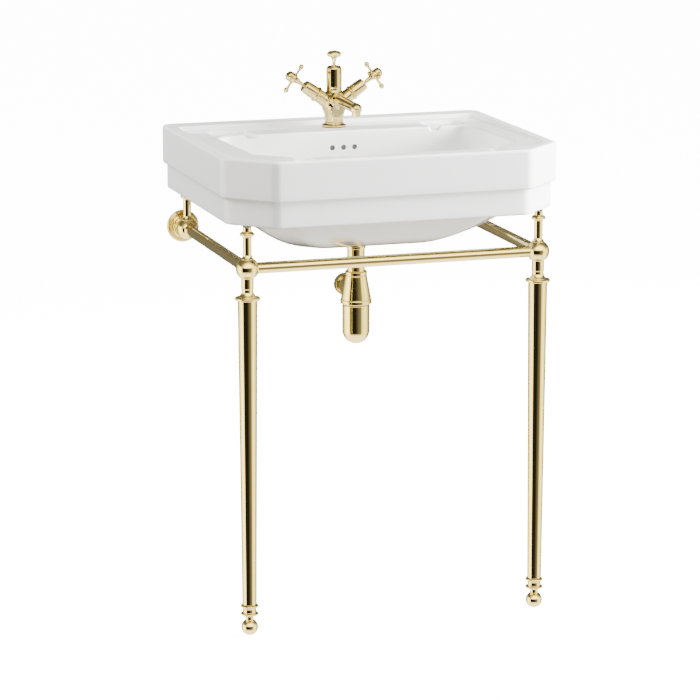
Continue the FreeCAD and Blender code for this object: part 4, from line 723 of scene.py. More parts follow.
@dataclass
class ChinaBasin:
    """The glazed basin, one closed skin from the drain out over the skirt and back into the bowl.

    The bowl's mouth is (half width, front, back, cant) at the lip, with what the lean of its wall and
    the inset of its floor add to each. Roundings are (canted corners, back corners), the dish is
    (left, right, near, far), its wall's soft step is (start, end), a landing is (y, radius), and the
    overflow's jacket and channel are (half width, front, back).
    """

    half_width: float = 305.0
    half_depth: float = 245.0
    cant: float = 75.0
    skirt_r: Point = (25.0, 18.0)
    rim: float = 840.0
    deck: float = 833.0
    roof: float = 819.0
    tier: float = 771.0
    underside: float = 724.0
    tier_inset: float = 8.0
    china: float = 12.0
    side_rim: float = 18.0
    back_rim: float = 45.0
    recess_soft: float = 6.0
    rim_edge: float = 5.0
    lip_edge: float = 4.0
    foot_edge: float = 4.0
    tier_edge: float = 2.5
    mouth_at_lip: Point = (238.0, -207.0, 105.0, 66.0)
    mouth_by_lean: Point = (-11.0, 37.0, 0.0, -15.0)
    mouth_by_inset: Point = (-98.0, 98.0, -30.0, -15.0)
    mouth_r: Point = (34.0, 30.0)
    bowl_floor: float = 666.0
    wall_depth: float = 109.0
    curve_power: float = 1.626
    drain_y: float = 32.0
    drain_r: float = 22.5
    boss_r: float = 38.0
    boss_face: float = 650.0
    dish: Point = (165.0, 240.0, 116.0, 170.0)
    dish_depth: float = 6.0
    dish_r: float = 12.0
    dish_wall: Point = (-0.5, 4.5)
    groove: float = 23.0
    overflow_x: Point = (-21.0, 0.0, 21.0)
    overflow_z: float = 803.0
    bolt_x: float = 140.0
    bolt_z: float = 785.0
    tap_y: float = 162.0
    landing_x: float = 265.0
    landings: Stops = ((-187.0, 7.6), (211.0, 21.0))
    jacket: Point = (34.0, 110.0, 132.0)
    channel: Point = (19.0, 32.0, 130.0)
    channel_top: float = 660.0
    jacket_r: float = 4.0
    overflow_r: float = 5.0
    bolt_r: float = 7.0
    tap_hole_r: float = 17.5

    def outside(self, inset: float) -> Plan:
        """Outline of the skirt, its back held on the wall."""
        whole = Plan(self.half_width, -self.half_depth, self.half_depth, self.cant, *self.skirt_r, wide=True)
        return replace(whole.grown(-inset), back=self.half_depth)

    def mouth(self, lean: float, inset: float, outward: float = 0.0) -> Plan:
        """Outline of the bowl for a share of lean and of floor inset."""
        sizes = np.array([self.mouth_at_lip, self.mouth_by_lean, self.mouth_by_inset])
        return Plan(*(np.array([1.0, lean, inset]) @ sizes), *self.mouth_r).grown(outward)

    def deck_height(self, x: np.ndarray, y: np.ndarray) -> np.ndarray:
        """Height of the top surface.

        Formula: the rim's height less the recess, which is level behind the bowl and runs out at the
        front, less the soap dishes and their grooves, each with a soft wall.

        Args:
            x: X of the points.
            y: Y of the points.

        Returns:
            Their heights.
        """
        soft = self.recess_soft
        reach = np.abs(x) - (self.half_width - self.side_rim)
        behind = y - (self.half_depth - self.back_rim)
        cant = (np.abs(x) - y - (self.half_width + self.half_depth - self.cant)) / ROOT_2 + self.side_rim
        outside = soft * np.logaddexp(np.logaddexp(reach / soft, behind / soft), cant / soft)
        _, front, back, _ = self.mouth_at_lip
        fall = (self.rim - self.deck) * np.clip((y - front) / (back - front), 0.0, 1.0)
        left, right, near, far = self.dish
        apart_x = np.abs(np.abs(x) - (left + right) / 2.0) - (right - left) / 2.0 + self.dish_r
        apart_y = np.abs(y - (near + far) / 2.0) - (far - near) / 2.0 + self.dish_r
        dish = (np.hypot(np.maximum(apart_x, 0.0), np.maximum(apart_y, 0.0))
                + np.minimum(np.maximum(apart_x, apart_y), 0.0) - self.dish_r)
        across = np.abs(np.abs(x) - left - self.groove / 2.0) - self.groove / 2.0
        groove = np.maximum(across, y - near - self.dish_r)
        low = np.minimum(dish, groove)
        return self.rim - fall * rise(-outside, 0.0, soft) - self.dish_depth * rise(-low, *self.dish_wall)

    def round_hole(self, radius: float, height: float, toward: np.ndarray) -> np.ndarray:
        """Circle about the drain, its columns aimed at those of an outline.

        Formula: the drain's centre plus the radius times the direction to each point.

        Args:
            radius: Its radius.
            height: Its height.
            toward: Loop of the outline.

        Returns:
            The circle's loop.
        """
        centre = np.array([0.0, self.drain_y])
        ray = toward[:, :2] - centre
        ray /= np.linalg.norm(ray, axis=1, keepdims=True)
        return np.column_stack([ray * radius + centre, np.full(len(ray), height)])

    def sweep(self, tilt: float) -> tuple[float, float]:
        """Inset and drop of the bowl's floor where its sweep has turned by an angle.

        Formula: one less the cosine, and the sine, each raised to the power of the curve.

        Args:
            tilt: Angle from the wall's foot, a right angle at the floor.

        Returns:
            Share of the inset, and the height below the wall's foot.
        """
        depth = self.deck - self.wall_depth - self.bowl_floor
        return (1.0 - max(math.cos(tilt), 0.0) ** self.curve_power,
                depth * math.sin(tilt) ** self.curve_power)

    def under_rows(self) -> list[np.ndarray]:
        """Drain, boss, belly, roof and the inside of the skirt, from the drain outwards.

        Formula: the belly is the bowl's sweep moved outwards by the china's thickness, level at the
        wall and straight down at the floor.

        Returns:
            The rows.
        """
        belly = []
        for tilt in np.linspace(QUARTER, 0.0, 13):
            inset, drop = self.sweep(tilt)
            height = self.deck - self.wall_depth - drop - self.china * math.sin(tilt)
            belly.append(self.mouth(1.0, inset, self.china * math.cos(tilt)).at(height))
        top = self.mouth((self.deck - self.roof) / self.wall_depth, 0.0, self.china).at(self.roof)
        rim_in = replace(self.outside(self.tier_inset + self.china), back=self.half_depth - self.china)
        inner_top = rim_in.at(self.roof)
        inner_low = rim_in.at(self.underside + 3.0)
        edge = [rim_in.grown(0.8).at(self.underside + 0.8), rim_in.grown(3.0).at(self.underside)]
        drain, *boss = [self.round_hole(radius, height, belly[0]) for radius, height in (
            (self.drain_r, self.bowl_floor), (self.drain_r, self.boss_face),
            (self.boss_r - 1.5, self.boss_face), (self.boss_r, self.boss_face + 1.5),
            (self.boss_r + 0.5, self.bowl_floor - self.china))]
        rows = blend(drain, boss[0], 2) + boss
        rows += blend(boss[-1], belly[0], 5) + belly + blend(belly[-1], top, 4) + [top]
        rows += blend(top, inner_top, 4) + [inner_top] + blend(inner_top, inner_low, 3)
        return rows + [inner_low, *edge]

    def outer_rows(self) -> list[np.ndarray]:
        """The two bands of the skirt from the underside up to the rounded rim.

        Formula: quarter circles at the foot, at the upper band's lower edge and at the rim, with
        straight runs between them.

        Returns:
            The rows.
        """
        swing = np.linspace(0.0, QUARTER, 6)
        low = self.outside(self.tier_inset)
        rows = [low.grown(-self.foot_edge * (1.0 - math.sin(angle))).at(
            self.underside + self.foot_edge * (1.0 - math.cos(angle))) for angle in swing]
        rows += blend(rows[-1], low.at(self.tier - 3.0), 4)
        rows += [self.outside(self.tier_inset - out).at(self.tier - down)
                 for out, down in ((0.0, 3.0), (0.4, 0.8), (2.2, 0.0))]
        rows += [self.outside(self.tier_edge * (1.0 - math.sin(angle))).at(
            self.tier + self.tier_edge * (1.0 - math.cos(angle))) for angle in swing]
        rows += blend(rows[-1], self.outside(0.0).at(self.rim - self.rim_edge), 5)
        return rows + [self.outside(0.0).grown(-self.rim_edge * (1.0 - math.cos(angle))).at(
            self.rim - self.rim_edge * (1.0 - math.sin(angle))) for angle in np.linspace(0.0, QUARTER, 9)]

    def deck_rows(self, rim: np.ndarray) -> list[np.ndarray]:
        """Top surface from the rim to the bowl's rounded lip.

        Formula: rows between the rim and the lip take the deck's height; the lip is a quarter circle.

        Args:
            rim: Last row of the rim.

        Returns:
            The rows, the last at the lip's foot.
        """
        wide = self.mouth(0.0, 0.0, self.lip_edge).at(0.0)
        close = self.mouth(0.0, 0.0).at(0.0)
        rows = blend(rim, wide, 78) + [wide.copy()]
        for row in rows:
            row[:, 2] = self.deck_height(row[:, 0], row[:, 1])
        edge = rows[-1][:, 2]
        for angle in np.linspace(0.0, QUARTER, 7)[1:]:
            row = close + (wide - close) * (1.0 - math.sin(angle))
            row[:, 2] = edge - self.lip_edge * (1.0 - math.cos(angle))
            rows.append(row)
        return rows

    def bowl_rows(self, lip: np.ndarray) -> list[np.ndarray]:
        """Wall, sweep and floor of the bowl from the lip to the drain.

        Formula: the wall leans with its depth, the sweep follows its power curve, and the floor runs
        straight to the drain.

        Args:
            lip: Row at the lip's foot.

        Returns:
            The rows.
        """
        upright = self.mouth(0.0, 0.0).at(0.0)
        leaning = self.mouth(1.0, 0.0).at(0.0)
        foot = self.deck - self.wall_depth
        rows = []
        for share in np.linspace(0.0, 1.0, 20)[1:]:
            height = lip[:, 2] + (foot - lip[:, 2]) * share
            lean = np.clip((self.deck - height) / self.wall_depth, 0.0, 1.0)[:, None]
            row = upright + (leaning - upright) * lean
            row[:, 2] = height
            rows.append(row)
        for tilt in np.linspace(0.0, QUARTER, 17)[1:]:
            inset, drop = self.sweep(tilt)
            rows.append(self.mouth(1.0, inset).at(foot - drop))
        drain = self.round_hole(self.drain_r, self.bowl_floor, rows[-1])
        return rows + blend(rows[-1], drain, 12) + [drain]

    def skin(self) -> Grid:
        """The whole closed skin, row after row from the drain's lower edge to its upper one.

        Returns:
            The surface.
        """
        outer = self.outer_rows()
        deck = self.deck_rows(outer[-1])
        return Grid(np.stack(self.under_rows() + outer + deck + self.bowl_rows(deck[-1])), along=True)

    def hidden_forms(self) -> list[Grid]:
        """Landings over the posts, and the overflow's jacket with its channel under the bowl.

        Formula: round bars up to the roof, and stacked outlines whose lowest is drawn in.

        Returns:
            The surfaces.
        """
        top = self.roof + 1.0
        forms = [bar(radius, (x, y, self.underside), (x, y, top), 1.5)
                 for x in (-self.landing_x, self.landing_x) for y, radius in self.landings]
        face = self.boss_face
        for (half, front, back), inset, end in ((self.jacket, 1.0, top), (self.channel, 0.0, self.channel_top)):
            low = Plan(half - 1.0, front + inset, back - inset, *(self.jacket_r,) * 3)
            plan = Plan(half, front, back, *(self.jacket_r,) * 3)
            forms.append(capped([low.at(face), plan.at(face + 1.0), plan.at(end)]))
        return forms

    def pieces(self) -> list[Piece]:
        """The china with its bores, its hidden forms and the shade in the overflow's holes.

        Returns:
            The pieces.
        """
        z = self.overflow_z
        bores = [bar(self.overflow_r, (x, 95.0, z), (x, 114.5, z), 0.3) for x in self.overflow_x]
        bores += [bar(self.bolt_r, (x, 228.0, self.bolt_z), (x, 260.0, self.bolt_z), 0.3)
                  for x in (-self.bolt_x, self.bolt_x)]
        bores.append(bar(self.tap_hole_r, (0.0, self.tap_y, 800.0), (0.0, self.tap_y, 850.0), 0.3))
        # Painted shade: dark plugs a little wider than the overflow's holes, set inside them where shade falls.
        dark = [bar(self.overflow_r + 0.2, (x, 106.6, z), (x, 115.5, z), 0.2) for x in self.overflow_x]
        return [Piece("china_casting", [self.skin()], ("basin_deck", "basin_skirt", "basin_bowl"), Finish.CHINA,
                      bores=bores),
                Piece("china_landings", self.hidden_forms(), finish=Finish.CHINA),
                Piece("overflow_painted_shade", dark, finish=Finish.SHADE)]


# ---- stand
@dataclass
class Stand:
    """Brass stand: two turned legs, three rails, four posts and two wall joints.

    Profiles have the middle of the ball, or of the ball foot, at zero.
    """

    leg_x: float = 265.0
    leg_y: float = -187.0
    joint_y: float = 211.0
    wall: float = 245.0
    ball_z: float = 650.0
    rail_r: float = 10.0
    rail_seat: float = 12.0
    foot_centre: float = 14.0
    stud_r: float = 4.6
    post: Stops = ((0, 15), (11, 16.2), (11, 17.4, ROUND), (7.5, 27, -0.12), (7.5, 54.6), (9, 55.2, -0.1),
                   (9.7, 56), (9.7, 63, 0.42), (9, 63.8), (7.5, 64.4, -0.1), (7.5, 72), (0, 72))
    corner_joint: Stops = ((0, -54.5), (19.8, -54.5), (21.8, -53, ROUND), (21.8, -51), (20, -49.5, ROUND),
                           (16, -49.3), (15.2, -48.2, -0.1), (10.9, -34, -0.16), (10.9, -16.77),
                           (11, 16.7, 0.2704), (0, 17.2))
    leg: Stops = ((0, 41.5), (12.5, 41.5), (17, 581.5), (0, 581.5))
    ferrule: Stops = ((0, 20.5), (11, 20.5), (12, 21, ROUND), (14, 22), (14, 26, 0.40), (12.2, 27),
                      (12.2, 34.8, -0.06), (14, 36), (14, 40, 0.40), (12.5, 41.5), (0, 41.5))
    ball_foot: Stops = ((0, -14), (4.64, -14), (7, 12.98, 0.3293), (7, 20.5), (0, 20.5))
    wall_joint: Stops = ((0, -20), (12, 16, 0.3604), (12, 22.2), (0, 22.2))
    rosette: Stops = ((5.5, 0), (30, 0), (30, 3), (29, 4.3, ROUND), (26, 6, ROUND), (24, 6.2, ROUND),
                      (21, 5, -0.1), (17, 10, -0.15), (15, 12, ROUND), (5.5, 12))

    def pieces(self) -> list[Piece]:
        """Both sides and the front rail.

        Returns:
            The pieces.
        """
        reach = self.leg_x - self.rail_seat
        rail = bar(self.rail_r, (-reach, self.leg_y, self.ball_z), (reach, self.leg_y, self.ball_z))
        sides = [piece for side in Side for piece in self.side_pieces(side)]
        return sides + [Piece("front_rail_bar", [rail], ("front_rail",))]

    def side_pieces(self, side: Side) -> list[Piece]:
        """Turned pieces of one side.

        Args:
            side: Which hand.

        Returns:
            The pieces.
        """
        x = side.value * self.leg_x
        word = side.word
        front = (x, self.leg_y, self.ball_z)
        rear = (x, self.joint_y, self.ball_z)
        foot = (x, self.leg_y, self.foot_centre)
        rail = bar(self.rail_r, (x, self.leg_y + self.rail_seat, self.ball_z),
                   (x, self.joint_y - self.rail_seat, self.ball_z))
        stud = bar(self.stud_r, (x, self.leg_y, 34), (x, self.leg_y, 62))
        ball_foot = turned(self.ball_foot).placed(foot)
        leg = [("corner_ball", "corner_joint", turned(self.corner_joint, 0.5).placed(front)),
               ("front_baluster", "front_post", turned(self.post, 0.4).placed(front)),
               ("rear_baluster", "rear_post", turned(self.post, 0.4).placed(rear)),
               ("tapered_leg", "leg", turned(self.leg).placed(foot)),
               ("ringed_ferrule", "ferrule", turned(self.ferrule, 0.4).placed(foot))]
        wall = [("side_rail_bar", "side_rail", rail),
                ("wall_ball", "wall_joint", turned(self.wall_joint, 0.5).placed(rear, TO_WALL)),
                ("stepped_rosette", "wall_rosette",
                 turned(self.rosette, 0.35).placed((x, self.wall, self.ball_z), TO_FRONT))]
        fixed = [Piece(f"{name}_{word}", [form], (f"{node}_{word}",)) for name, node, form in leg + wall]
        foot = [Piece(f"ball_foot_{word}", [ball_foot], (f"foot_{word}",), body=f"foot_{word}_body"),
                Piece(f"foot_stud_{word}", [stud], finish=Finish.THREAD, body=f"foot_{word}_body")]
        return fixed[:len(leg)] + foot + fixed[len(leg):]


# ---- waste and lift linkage
@dataclass
class WasteSet:
    """Pop-up waste in the bowl, its tail pipe, and the rod and knob that lift it."""

    drain_y: float = 32.0
    seat: float = 667.5
    nut_face: float = 639.0
    pipe_foot: float = 570.0
    plug_under: float = 675.28
    eye_z: float = 628.61
    lever_z: float = 630.0
    tap_y: float = 162.0
    rod_r: float = 2.5
    rod_foot: float = 653.0
    rod_top: float = 966.0
    pillar_top: float = 945.5

    def pieces(self) -> list[Piece]:
        """The fitting, the plug, the tail pipe and the lift rod.

        Returns:
            The pieces.
        """
        axis = (0, self.drain_y, 0)
        under = self.plug_under
        flange = turned([(16, 663), (21, 663), (21, self.seat), (31, self.seat), (32, 668.5, ROUND),
                         (23, 670.5, 0.06), (20.5, 670.5), (16, 666.5)], 0.35, 96)
        shank = turned([(16, self.nut_face), (21, self.nut_face), (21, 663.4), (16, 663.4)])
        head = turned([(0, self.eye_z + 5.2), (4, self.eye_z + 5.2), (4, under - 6),
                       (13, under - 2.4, HOLLOW), (13, under), (18.6, under), (19, under + 0.5, ROUND),
                       (19, under + 1.8), (17.6, under + 2.9, 0.12), (0, under + 5, crown(17.6, 2.1))],
                      0.25, 96)
        eye = turned([(4.2, -1.5), (7.5, -1.5), (7.5, 1.5), (4.2, 1.5)], 0.4)
        pipe = turned([(14.5, self.pipe_foot), (16, self.pipe_foot), (16, self.nut_face),
                       (14.5, self.nut_face)])
        port = bar(7, (0, self.drain_y + 14.8, self.lever_z), (0, self.drain_y + 24.6, self.lever_z))
        collar = turned([(15, -8), (16.9, -8), (17.6, -7.3, ROUND), (17.6, -4.2), (16.9, -3.5, ROUND),
                         (15, -3.5)])
        rod = bar(self.rod_r, (0, self.tap_y, self.rod_foot), (0, self.tap_y, self.rod_top), 0.4)
        knob = turned([(0, 0.3), (3.2, 0.3), (3.4, 5, -0.02), (6.2, 14.3, -0.08), (13, 20.5, 0.22),
                       (6.5, 25.7, 0.17), (0, 26.7, crown(6.5, 1))], 0.4, 96)
        plug = [head.placed(axis), eye.placed((0, self.drain_y, self.eye_z), TO_WALL)]
        tail = [pipe.placed(axis), port, collar.placed((0, self.drain_y, self.nut_face))]
        return [Piece("waste_flange", [flange.placed(axis)], ("waste_body",)),
                Piece("waste_thread", [shank.placed(axis)], finish=Finish.THREAD),
                Piece("plug_head", plug, ("waste_plug",), body="plug_body"),
                Piece("tail_tube", tail, ("tail_pipe",)),
                Piece("lift_rod_bar", [rod], ("lift_rod",), body="lift_body"),
                Piece("lift_knob_ball", [knob.placed((0, self.tap_y, self.pillar_top))], ("lift_knob",),
                      body="lift_body")]


# ---- mixer
@dataclass
class Mixer:
    """One-hole mixer: waisted body with raised arms, domed pillar and ball-nosed spout.

    The heights of the body, the arms, the spout and the button count from the body's foot.
    """

    tap_y: float = 162.0
    deck: float = 833.0
    body_foot: float = 841.5
    body_rise: float = 52.0
    arm_rise: float = 28.5
    arm_angle: float = 35.0
    spout_rise: float = 44.5
    spout_fall: float = 3.0
    spout_reach: float = 131.0
    button_rise: float = 22.5
    button_out: float = 20.0

    def arm(self, side: Side) -> Point:
        """Direction of a raised arm."""
        angle = math.radians(self.arm_angle)
        return (side.value * math.cos(angle), 0, math.sin(angle))

    def above(self, height: float, out: float = 0) -> Point:
        """Point on the tap's axis over the body's foot, or out in front of it."""
        return (0, self.tap_y - out, self.body_foot + height)

    def nose(self) -> Point:
        """Centre of the spout's ball nose."""
        return self.above(self.spout_rise - self.spout_fall, self.spout_reach)

    def spout_axis(self) -> Point:
        """Direction of the spout."""
        span = np.array(self.nose()) - np.array(self.above(self.spout_rise))
        return tuple(span / np.linalg.norm(span))

    def pieces(self) -> list[Piece]:
        """The base, the casting, the pillar, the spout and both handles.

        Returns:
            The pieces.
        """
        hole = (0, self.tap_y, self.deck)
        base = turned([(0, 1.5), (22.2, 1.5), (22.5, 1.9, ROUND), (22.5, 3.5), (21.5, 4.5, ROUND),
                       (19, 5, -0.04), (17.2, 8.5, -0.16), (0, 8.5)], 0.25, 96)
        shank = turned([(13.8, -56.5), (16.5, -56.5), (16.5, 1.8), (13.8, 1.8)], 0.4)
        button = turned([(0, -4), (11.5, -4), (11.5, 1.5), (11, 2, ROUND), (0, 2)])
        button_at = self.above(self.button_rise, self.button_out)
        pillar = turned([(0, -0.2), (17, -0.2), (17.2, 0.4, ROUND), (16.9, 1.2, ROUND), (14, 12, -0.12),
                         (14, 45.5), (7, 51, 0.2), (2.6, 52, 0.05), (0, 52)], 0.35, 96)
        run = math.hypot(self.spout_reach, self.spout_fall)
        spout = turned([(0, 18), (9.6, 18), (9.6, run - 4), (0, run + 10.4, 0.2676)], 0.5, 64)
        collar = turned([(9, 24.5), (12, 24.5), (12.6, 25.3, ROUND), (12.6, 26.6), (11.6, 27.6, ROUND),
                         (9, 27.6)])
        pipe = [shape.placed(self.above(self.spout_rise), self.spout_axis()) for shape in (spout, collar)]
        tip = turned([(6, -13.4), (8.2, -13.4), (8.2, -5), (6, -5)]).placed(self.nose())
        # Painted shade: a dark plug in the nozzle where its bore is in shade.
        inside = bar(6.05, tuple(np.array(self.nose()) + [0, 0, -12.2]), self.nose(), 0.2)
        fixed = [Piece("mixer_base", [base.placed(hole)], ("tap_base",), Finish.TAP_BRASS),
                 Piece("mixer_shank", [shank.placed(hole)], finish=Finish.THREAD),
                 Piece("mixer_casting", self.casting(), ("tap_body",), Finish.TAP_BRASS, melt=0.62),
                 Piece("front_button", [button.placed(button_at, TO_FRONT)], ("body_button",), Finish.SATIN_PAINTED_REFLECTION),
                 Piece("domed_pillar", [pillar.placed(self.above(self.body_rise))], ("tap_pillar",),
                       Finish.TAP_BRASS),
                 Piece("ball_nosed_spout", pipe, ("tap_spout",), Finish.TAP_BRASS),
                 Piece("nozzle_ring", [tip], ("spout_nozzle",), Finish.TAP_BRASS),
                 Piece("nozzle_bore_painted_shade", [inside], finish=Finish.DARK)]
        return fixed + [piece for side in Side for piece in self.handle_pieces(side)]

    def casting(self) -> list[Grid]:
        """The body, its two arms, its spout boss and the button's seat, before they are melted.

        Returns:
            The surfaces.
        """
        body = turned([(0, 0.2), (16.8, 0.2), (17, 4), (21.8, 23.4, -0.06), (21.8, 36.4, 0.05),
                       (17, 51.8, 0.10), (0, 51.8)], 0.5, 96)
        arm = turned([(0, 2), (17, 2), (12.6, 38, -0.04), (0, 38)], 0.4)
        boss = turned([(0, 2), (12.5, 2), (12.5, 25.5), (0, 25.5)], 0.6)
        seat = turned([(0, 12), (13, 12), (13, 19.6), (12, 20.4, ROUND), (0, 20.4)])
        arms = [arm.placed(self.above(self.arm_rise), self.arm(side)) for side in Side]
        return [body.placed(self.above(0)), *arms,
                boss.placed(self.above(self.spout_rise), self.spout_axis()),
                seat.placed(self.above(self.button_rise), TO_FRONT)]

    def handle_pieces(self, side: Side) -> list[Piece]:
        """The bell cover, the cross handle and its cap.

        Args:
            side: Which hand.

        Returns:
            The pieces.
        """
        word = side.word
        body = f"handle_{word}_body"
        bell = turned([(9.2, 38), (12.6, 38), (13.2, 38.6, ROUND), (13.2, 43, 0.34), (12.4, 43.6),
                       (11.3, 68, 0.02), (9.3, 70, ROUND), (2.9, 70), (2.9, 67.5), (9.2, 67.5)])
        hub = turned([(0, 73), (3.9, 73), (5, 85, -0.05), (9.6, 93, -0.06), (9.6, 97.2, 0.08),
                      (8.8, 98, ROUND), (0, 98)])
        spoke = turned([(0, 0), (3.2, 0), (2.45, 20.4, -0.02), (0, 30.3, 0.345)], 0.2)
        spokes = [spoke.placed((0, 0, 93.5), axis) for axis in (TO_RIGHT, TO_LEFT, TO_WALL, TO_FRONT)]
        cap = turned([(0, 97.5), (8.2, 97.9), (9.2, 99, ROUND), (9.2, 103), (4.6, 108.6, 0.17),
                      (0, 110, crown(4.6, 1.4))], 0.3, 96)
        bell, cap, *cross = [form.placed(self.above(self.arm_rise), self.arm(side))
                             for form in (bell, cap, hub, *spokes)]
        return [Piece(f"bell_cover_{word}", [bell], (f"bell_{word}",), Finish.TAP_BRASS),
                Piece(f"cross_handle_{word}", cross, (f"handle_{word}",), Finish.TAP_BRASS, body,
                      melt=0.42, ease=4),
                Piece(f"domed_cap_{word}", [cap], (f"handle_cap_{word}",), Finish.TAP_BRASS, body)]


# ---- bottle trap
@dataclass
class BottleTrap:
    """Bottle trap under the drain: ring nut, cone with its outlet, and the round-bottomed cup."""

    drain_y: float = 32.0
    cone_top: float = 582.0
    cone_foot: float = 530.0
    nut_top: float = 590.0
    cup_end: float = 481.0
    cup_r: float = 24.8
    cup_bore: float = 22.8
    cup_rim: float = 528.0
    outlet_z: float = 553.0
    rib_at: Point = (56, 61)

    def pieces(self) -> list[Piece]:
        """The nut, the cone, the outlet's nut and the cup.

        Returns:
            The pieces.
        """
        axis = (0, self.drain_y, 0)
        outlet = (0, self.drain_y, self.outlet_z)
        nut = turned([(16.1, self.cone_top), (19, self.cone_top), (20, self.cone_top + 1, ROUND),
                      (20, self.nut_top - 2.4), (18.4, self.nut_top, ROUND), (16.1, self.nut_top)])
        cone = turned([(0, self.cone_foot), (26.8, self.cone_foot), (28.4, 532.2, ROUND), (28.4, 536.4),
                       (27.4, 538.6, 0.06), (19.8, self.cone_top), (0, self.cone_top)], 0.5, 96)
        branch = turned([(14.1, 12), (17.8, 12), (17.8, 70), (16.1, 70), (16.1, 45), (14.1, 45)], 0.4)
        collar = turned([(17.9, 52), (20, 52), (20.5, 52.5, ROUND), (20.5, 69), (19.5, 70, ROUND),
                         (17.9, 70)])
        ribs = [turned([(20, at), (20.5, at), (20.5, at + 1), (20, at + 1)], 0.2) for at in self.rib_at]
        bottom = self.cup_end - self.cup_r
        bulge = math.tan(math.pi / 8) / 2.0
        cup = turned([(0, bottom), (self.cup_r, self.cup_end, bulge), (self.cup_r, self.cup_rim - 1.4),
                      (24.2, self.cup_rim, ROUND), (self.cup_bore, self.cup_rim), (self.cup_bore, self.cup_end),
                      (0, bottom + 2, -bulge)], 0.3, 96)
        return [Piece("trap_ring_nut", [nut.placed(axis)], ("trap_inlet_nut",)),
                Piece("trap_cone_casting", [cone.placed(axis), branch.placed(outlet, TO_WALL)], ("trap_cone",)),
                Piece("outlet_ring_nut", [shape.placed(outlet, TO_WALL) for shape in (collar, *ribs)],
                      ("trap_outlet_nut",)),
                Piece("round_cup", [cup.placed(axis)], ("trap_cup",), body="trap_cup_body")]


# ---- pieces kept from the solids
@dataclass
class KeptParts:
    """Finishes of the solids that stay as they are."""

    rubber: tuple[str, ...] = ("basin_pads", "fixed_seals", "plug_seal")
    copper: tuple[str, ...] = ("supply_tails",)
    brass: tuple[str, ...] = ("pivot_nut", "popup_lever")
    machined: tuple[str, ...] = ("grub_screws", "cartridge_left", "cartridge_right", "spindle_left",
                                 "spindle_right", "waste_backnut", "lift_link", "clamp_washer", "tap_backnut",
                                 "trap_dip_tube")

    def dress(self, nodes: dict[str, bpy.types.Object]) -> None:
        """Give each solid its finish.

        Args:
            nodes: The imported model's objects by name.
        """
        for finish, names in ((Finish.RUBBER, self.rubber), (Finish.COPPER, self.copper),
                              (Finish.BRASS, self.brass), (Finish.MACHINED, self.machined)):
            for name in names:
                mesh = nodes[name].data
                mesh.materials.clear()
                mesh.materials.append(finish.material())
                LOG.info("dressed %s in %s", name, finish.value.name)


# ---- studio
@dataclass(frozen=True)
class SoftBox:
    """Square soft light.

    Attributes:
        name: Its name.
        at: Its place, in metres.
        target: Point that it faces.
        size: Edge, in metres.
        power: Watts.
    """

    name: str
    at: Point
    target: Point
    size: float
    power: float

    def make(self) -> None:
        """Hang the light, out of what the gloss reflects."""
        data = bpy.data.lights.new(self.name, "AREA")
        data.size = self.size
        data.energy = self.power
        lamp = linked(self.name, data)
        lamp.location = self.at
        lamp.visible_glossy = False
        lamp.rotation_euler = (Vector(self.target) - Vector(self.at)).to_track_quat("-Z", "Y").to_euler()


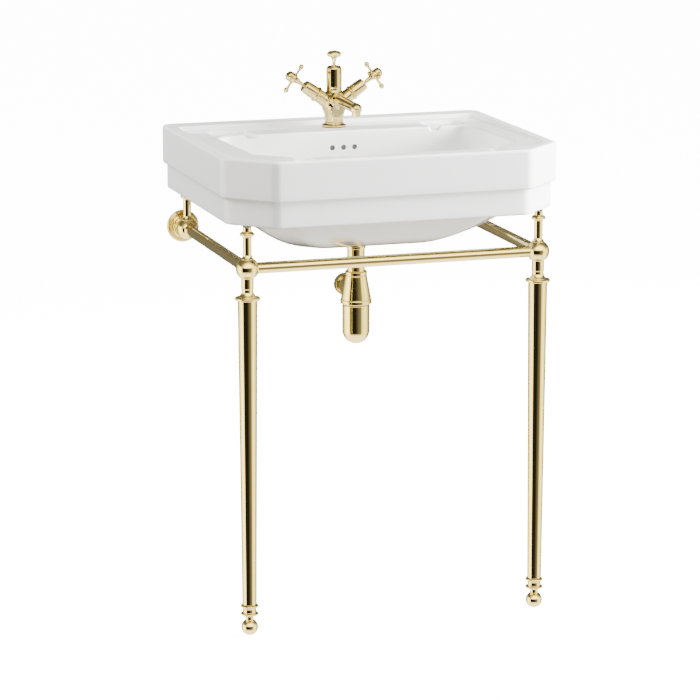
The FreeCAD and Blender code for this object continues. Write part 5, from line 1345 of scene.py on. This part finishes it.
@dataclass
class Studio:
    """Plain pale floor, soft light and the camera of the photograph.

    Ramps are (place, brightness) stops. The panels run over the compass angle from the left round by
    the front, the ceiling from front to back, and the others over the height.
    """

    camera_at: Point = (-1.68423, -5.19007, 1.66876)
    azimuth: float = 17.764
    pitch: float = 11.558
    lens: float = 159.94
    sensor: float = 36.0
    shift_y: float = -0.08
    clip_end: float = 200.0
    floor_half: float = 30.0
    floor_grey: float = 0.94
    backdrop: float = 14.0
    floor_glow: float = 12.5
    panel_floor: Point = (3.6, 3.4, 2.8)
    panels: Stops = ((0.0, 6.2), (0.035, 5.0), (0.068, 0.02), (0.190, 0.02), (0.217, 0.07), (0.25, 0.17),
                     (0.285, 0.27), (0.325, 0.40), (0.355, 3.0), (0.40, 4.0), (0.44, 4.2), (0.48, 2.6),
                     (0.52, 1.6), (0.555, 0.5), (0.62, 0.25), (0.80, 0.25), (0.84, 0.5), (0.875, 2.0),
                     (0.92, 3.8), (0.975, 6.4), (1.0, 6.2))
    ceiling: Stops = ((0.0, 6.0), (0.15, 6.0), (0.275, 2.2), (0.40, 0.45), (0.50, 0.30), (0.65, 0.20))
    band: Stops = ((0.14, 0.0), (0.28, 1.0), (0.58, 1.0), (0.68, 0.0))
    overhead: Stops = ((0.0, 0.0), (0.49, 0.0), (0.51, 1.0))
    matt_sky: Stops = ((0.0, 0.15), (0.5, 0.42), (0.75, 1.0), (1.0, 3.2))
    warm: Point = (1.0, 0.90, 0.50)
    boxes: tuple[SoftBox, ...] = (SoftBox("key_box", (2.45, -0.5, 1.45), (0.0, -0.1, 0.8), 1.3, 830.0),
                                  SoftBox("left_box", (-2.4, 1.0, 1.9), (0.0, 0.0, 0.8), 1.2, 175.0),
                                  SoftBox("front_box", (1.6, -3.3, 0.62), (0.0, 0.0, 0.8), 0.8, 165.0))

    def make(self) -> None:
        """Build everything that isn't the console."""
        self.make_floor()
        self.make_world()
        self.make_camera()
        for box in self.boxes:
            box.make()

    def make_floor(self) -> None:
        """Large pale floor under the feet."""
        half = self.floor_half
        mesh = bpy.data.meshes.new("studio_floor")
        corners = [(-half, -half, 0), (half, -half, 0), (half, half, 0), (-half, half, 0)]
        mesh.from_pydata(corners, [], [(0, 1, 2, 3)])
        material, _ = blank("pale_floor", {
            "Base Color": (*(self.floor_grey,) * 3, 1.0), "Roughness": 0.9, "Specular IOR Level": 0.0,
            "Emission Color": (1.0, 1.0, 1.0, 1.0), "Emission Strength": self.floor_glow})
        mesh.materials.append(material)
        floor = linked("studio_floor", mesh)
        floor.visible_diffuse = False
        floor.visible_glossy = False
        floor.visible_shadow = False

    def make_world(self) -> None:
        """White surroundings, brighter overhead for matt surfaces, with panels that the gloss reflects.

        Formula: within a band of the height the panels are a ramp over the compass angle; above it
        the ceiling is a ramp from front to back, and below it the floor is bright.
        """
        world = bpy.data.worlds.new("white_studio")
        world.use_nodes = True
        net = Nodes(world.node_tree)
        place = net.add("ShaderNodeTexCoord").outputs["Generated"]
        split = net.add("ShaderNodeSeparateXYZ", {"Vector": place}).outputs
        compass = net.add("ShaderNodeTexGradient", {"Vector": place}, gradient_type="RADIAL").outputs["Fac"]
        height = net.unit(split["Z"])
        ceiling = net.ramp(net.unit(split["Y"]), self.ceiling, self.warm)
        ends = net.mix(net.ramp(height, self.overhead), self.panel_floor, ceiling)
        gloss = net.mix(net.ramp(height, self.band), ends, net.ramp(compass, self.panels, self.warm))
        rays = net.add("ShaderNodeLightPath").outputs
        matt = net.mix(rays["Is Glossy Ray"], net.ramp(height, self.matt_sky), gloss)
        seen = net.mix(rays["Is Camera Ray"], matt, (self.backdrop,) * 3)
        backdrop = next(node for node in net.tree.nodes if node.type == "BACKGROUND")
        net.tree.links.new(seen, backdrop.inputs["Color"])
        bpy.context.scene.world = world

    def make_camera(self) -> None:
        """Camera at the photograph's angle.

        Formula: the azimuth turns from +Y towards +X and the pitch falls below the level.
        """
        turn = math.radians(self.azimuth)
        fall = math.radians(self.pitch)
        ahead = Vector((math.sin(turn) * math.cos(fall), math.cos(turn) * math.cos(fall), -math.sin(fall)))
        data = bpy.data.cameras.new("photo_camera")
        data.lens = self.lens
        data.sensor_width = self.sensor
        data.shift_y = self.shift_y
        data.clip_end = self.clip_end
        camera = linked("photo_camera", data)
        camera.rotation_euler = ahead.to_track_quat("-Z", "Y").to_euler()
        camera.location = self.camera_at
        bpy.context.scene.camera = camera


def main() -> None:
    logging.basicConfig(level=logging.INFO, format="%(name)s: %(message)s")
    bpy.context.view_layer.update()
    for assembly in (ChinaBasin(), Stand(), WasteSet(), Mixer(), BottleTrap()):
        for piece in assembly.pieces():
            piece.make()
    KeptParts().dress(frame["nodes"])
    Studio().make()


if __name__ == "__main__":
    main()
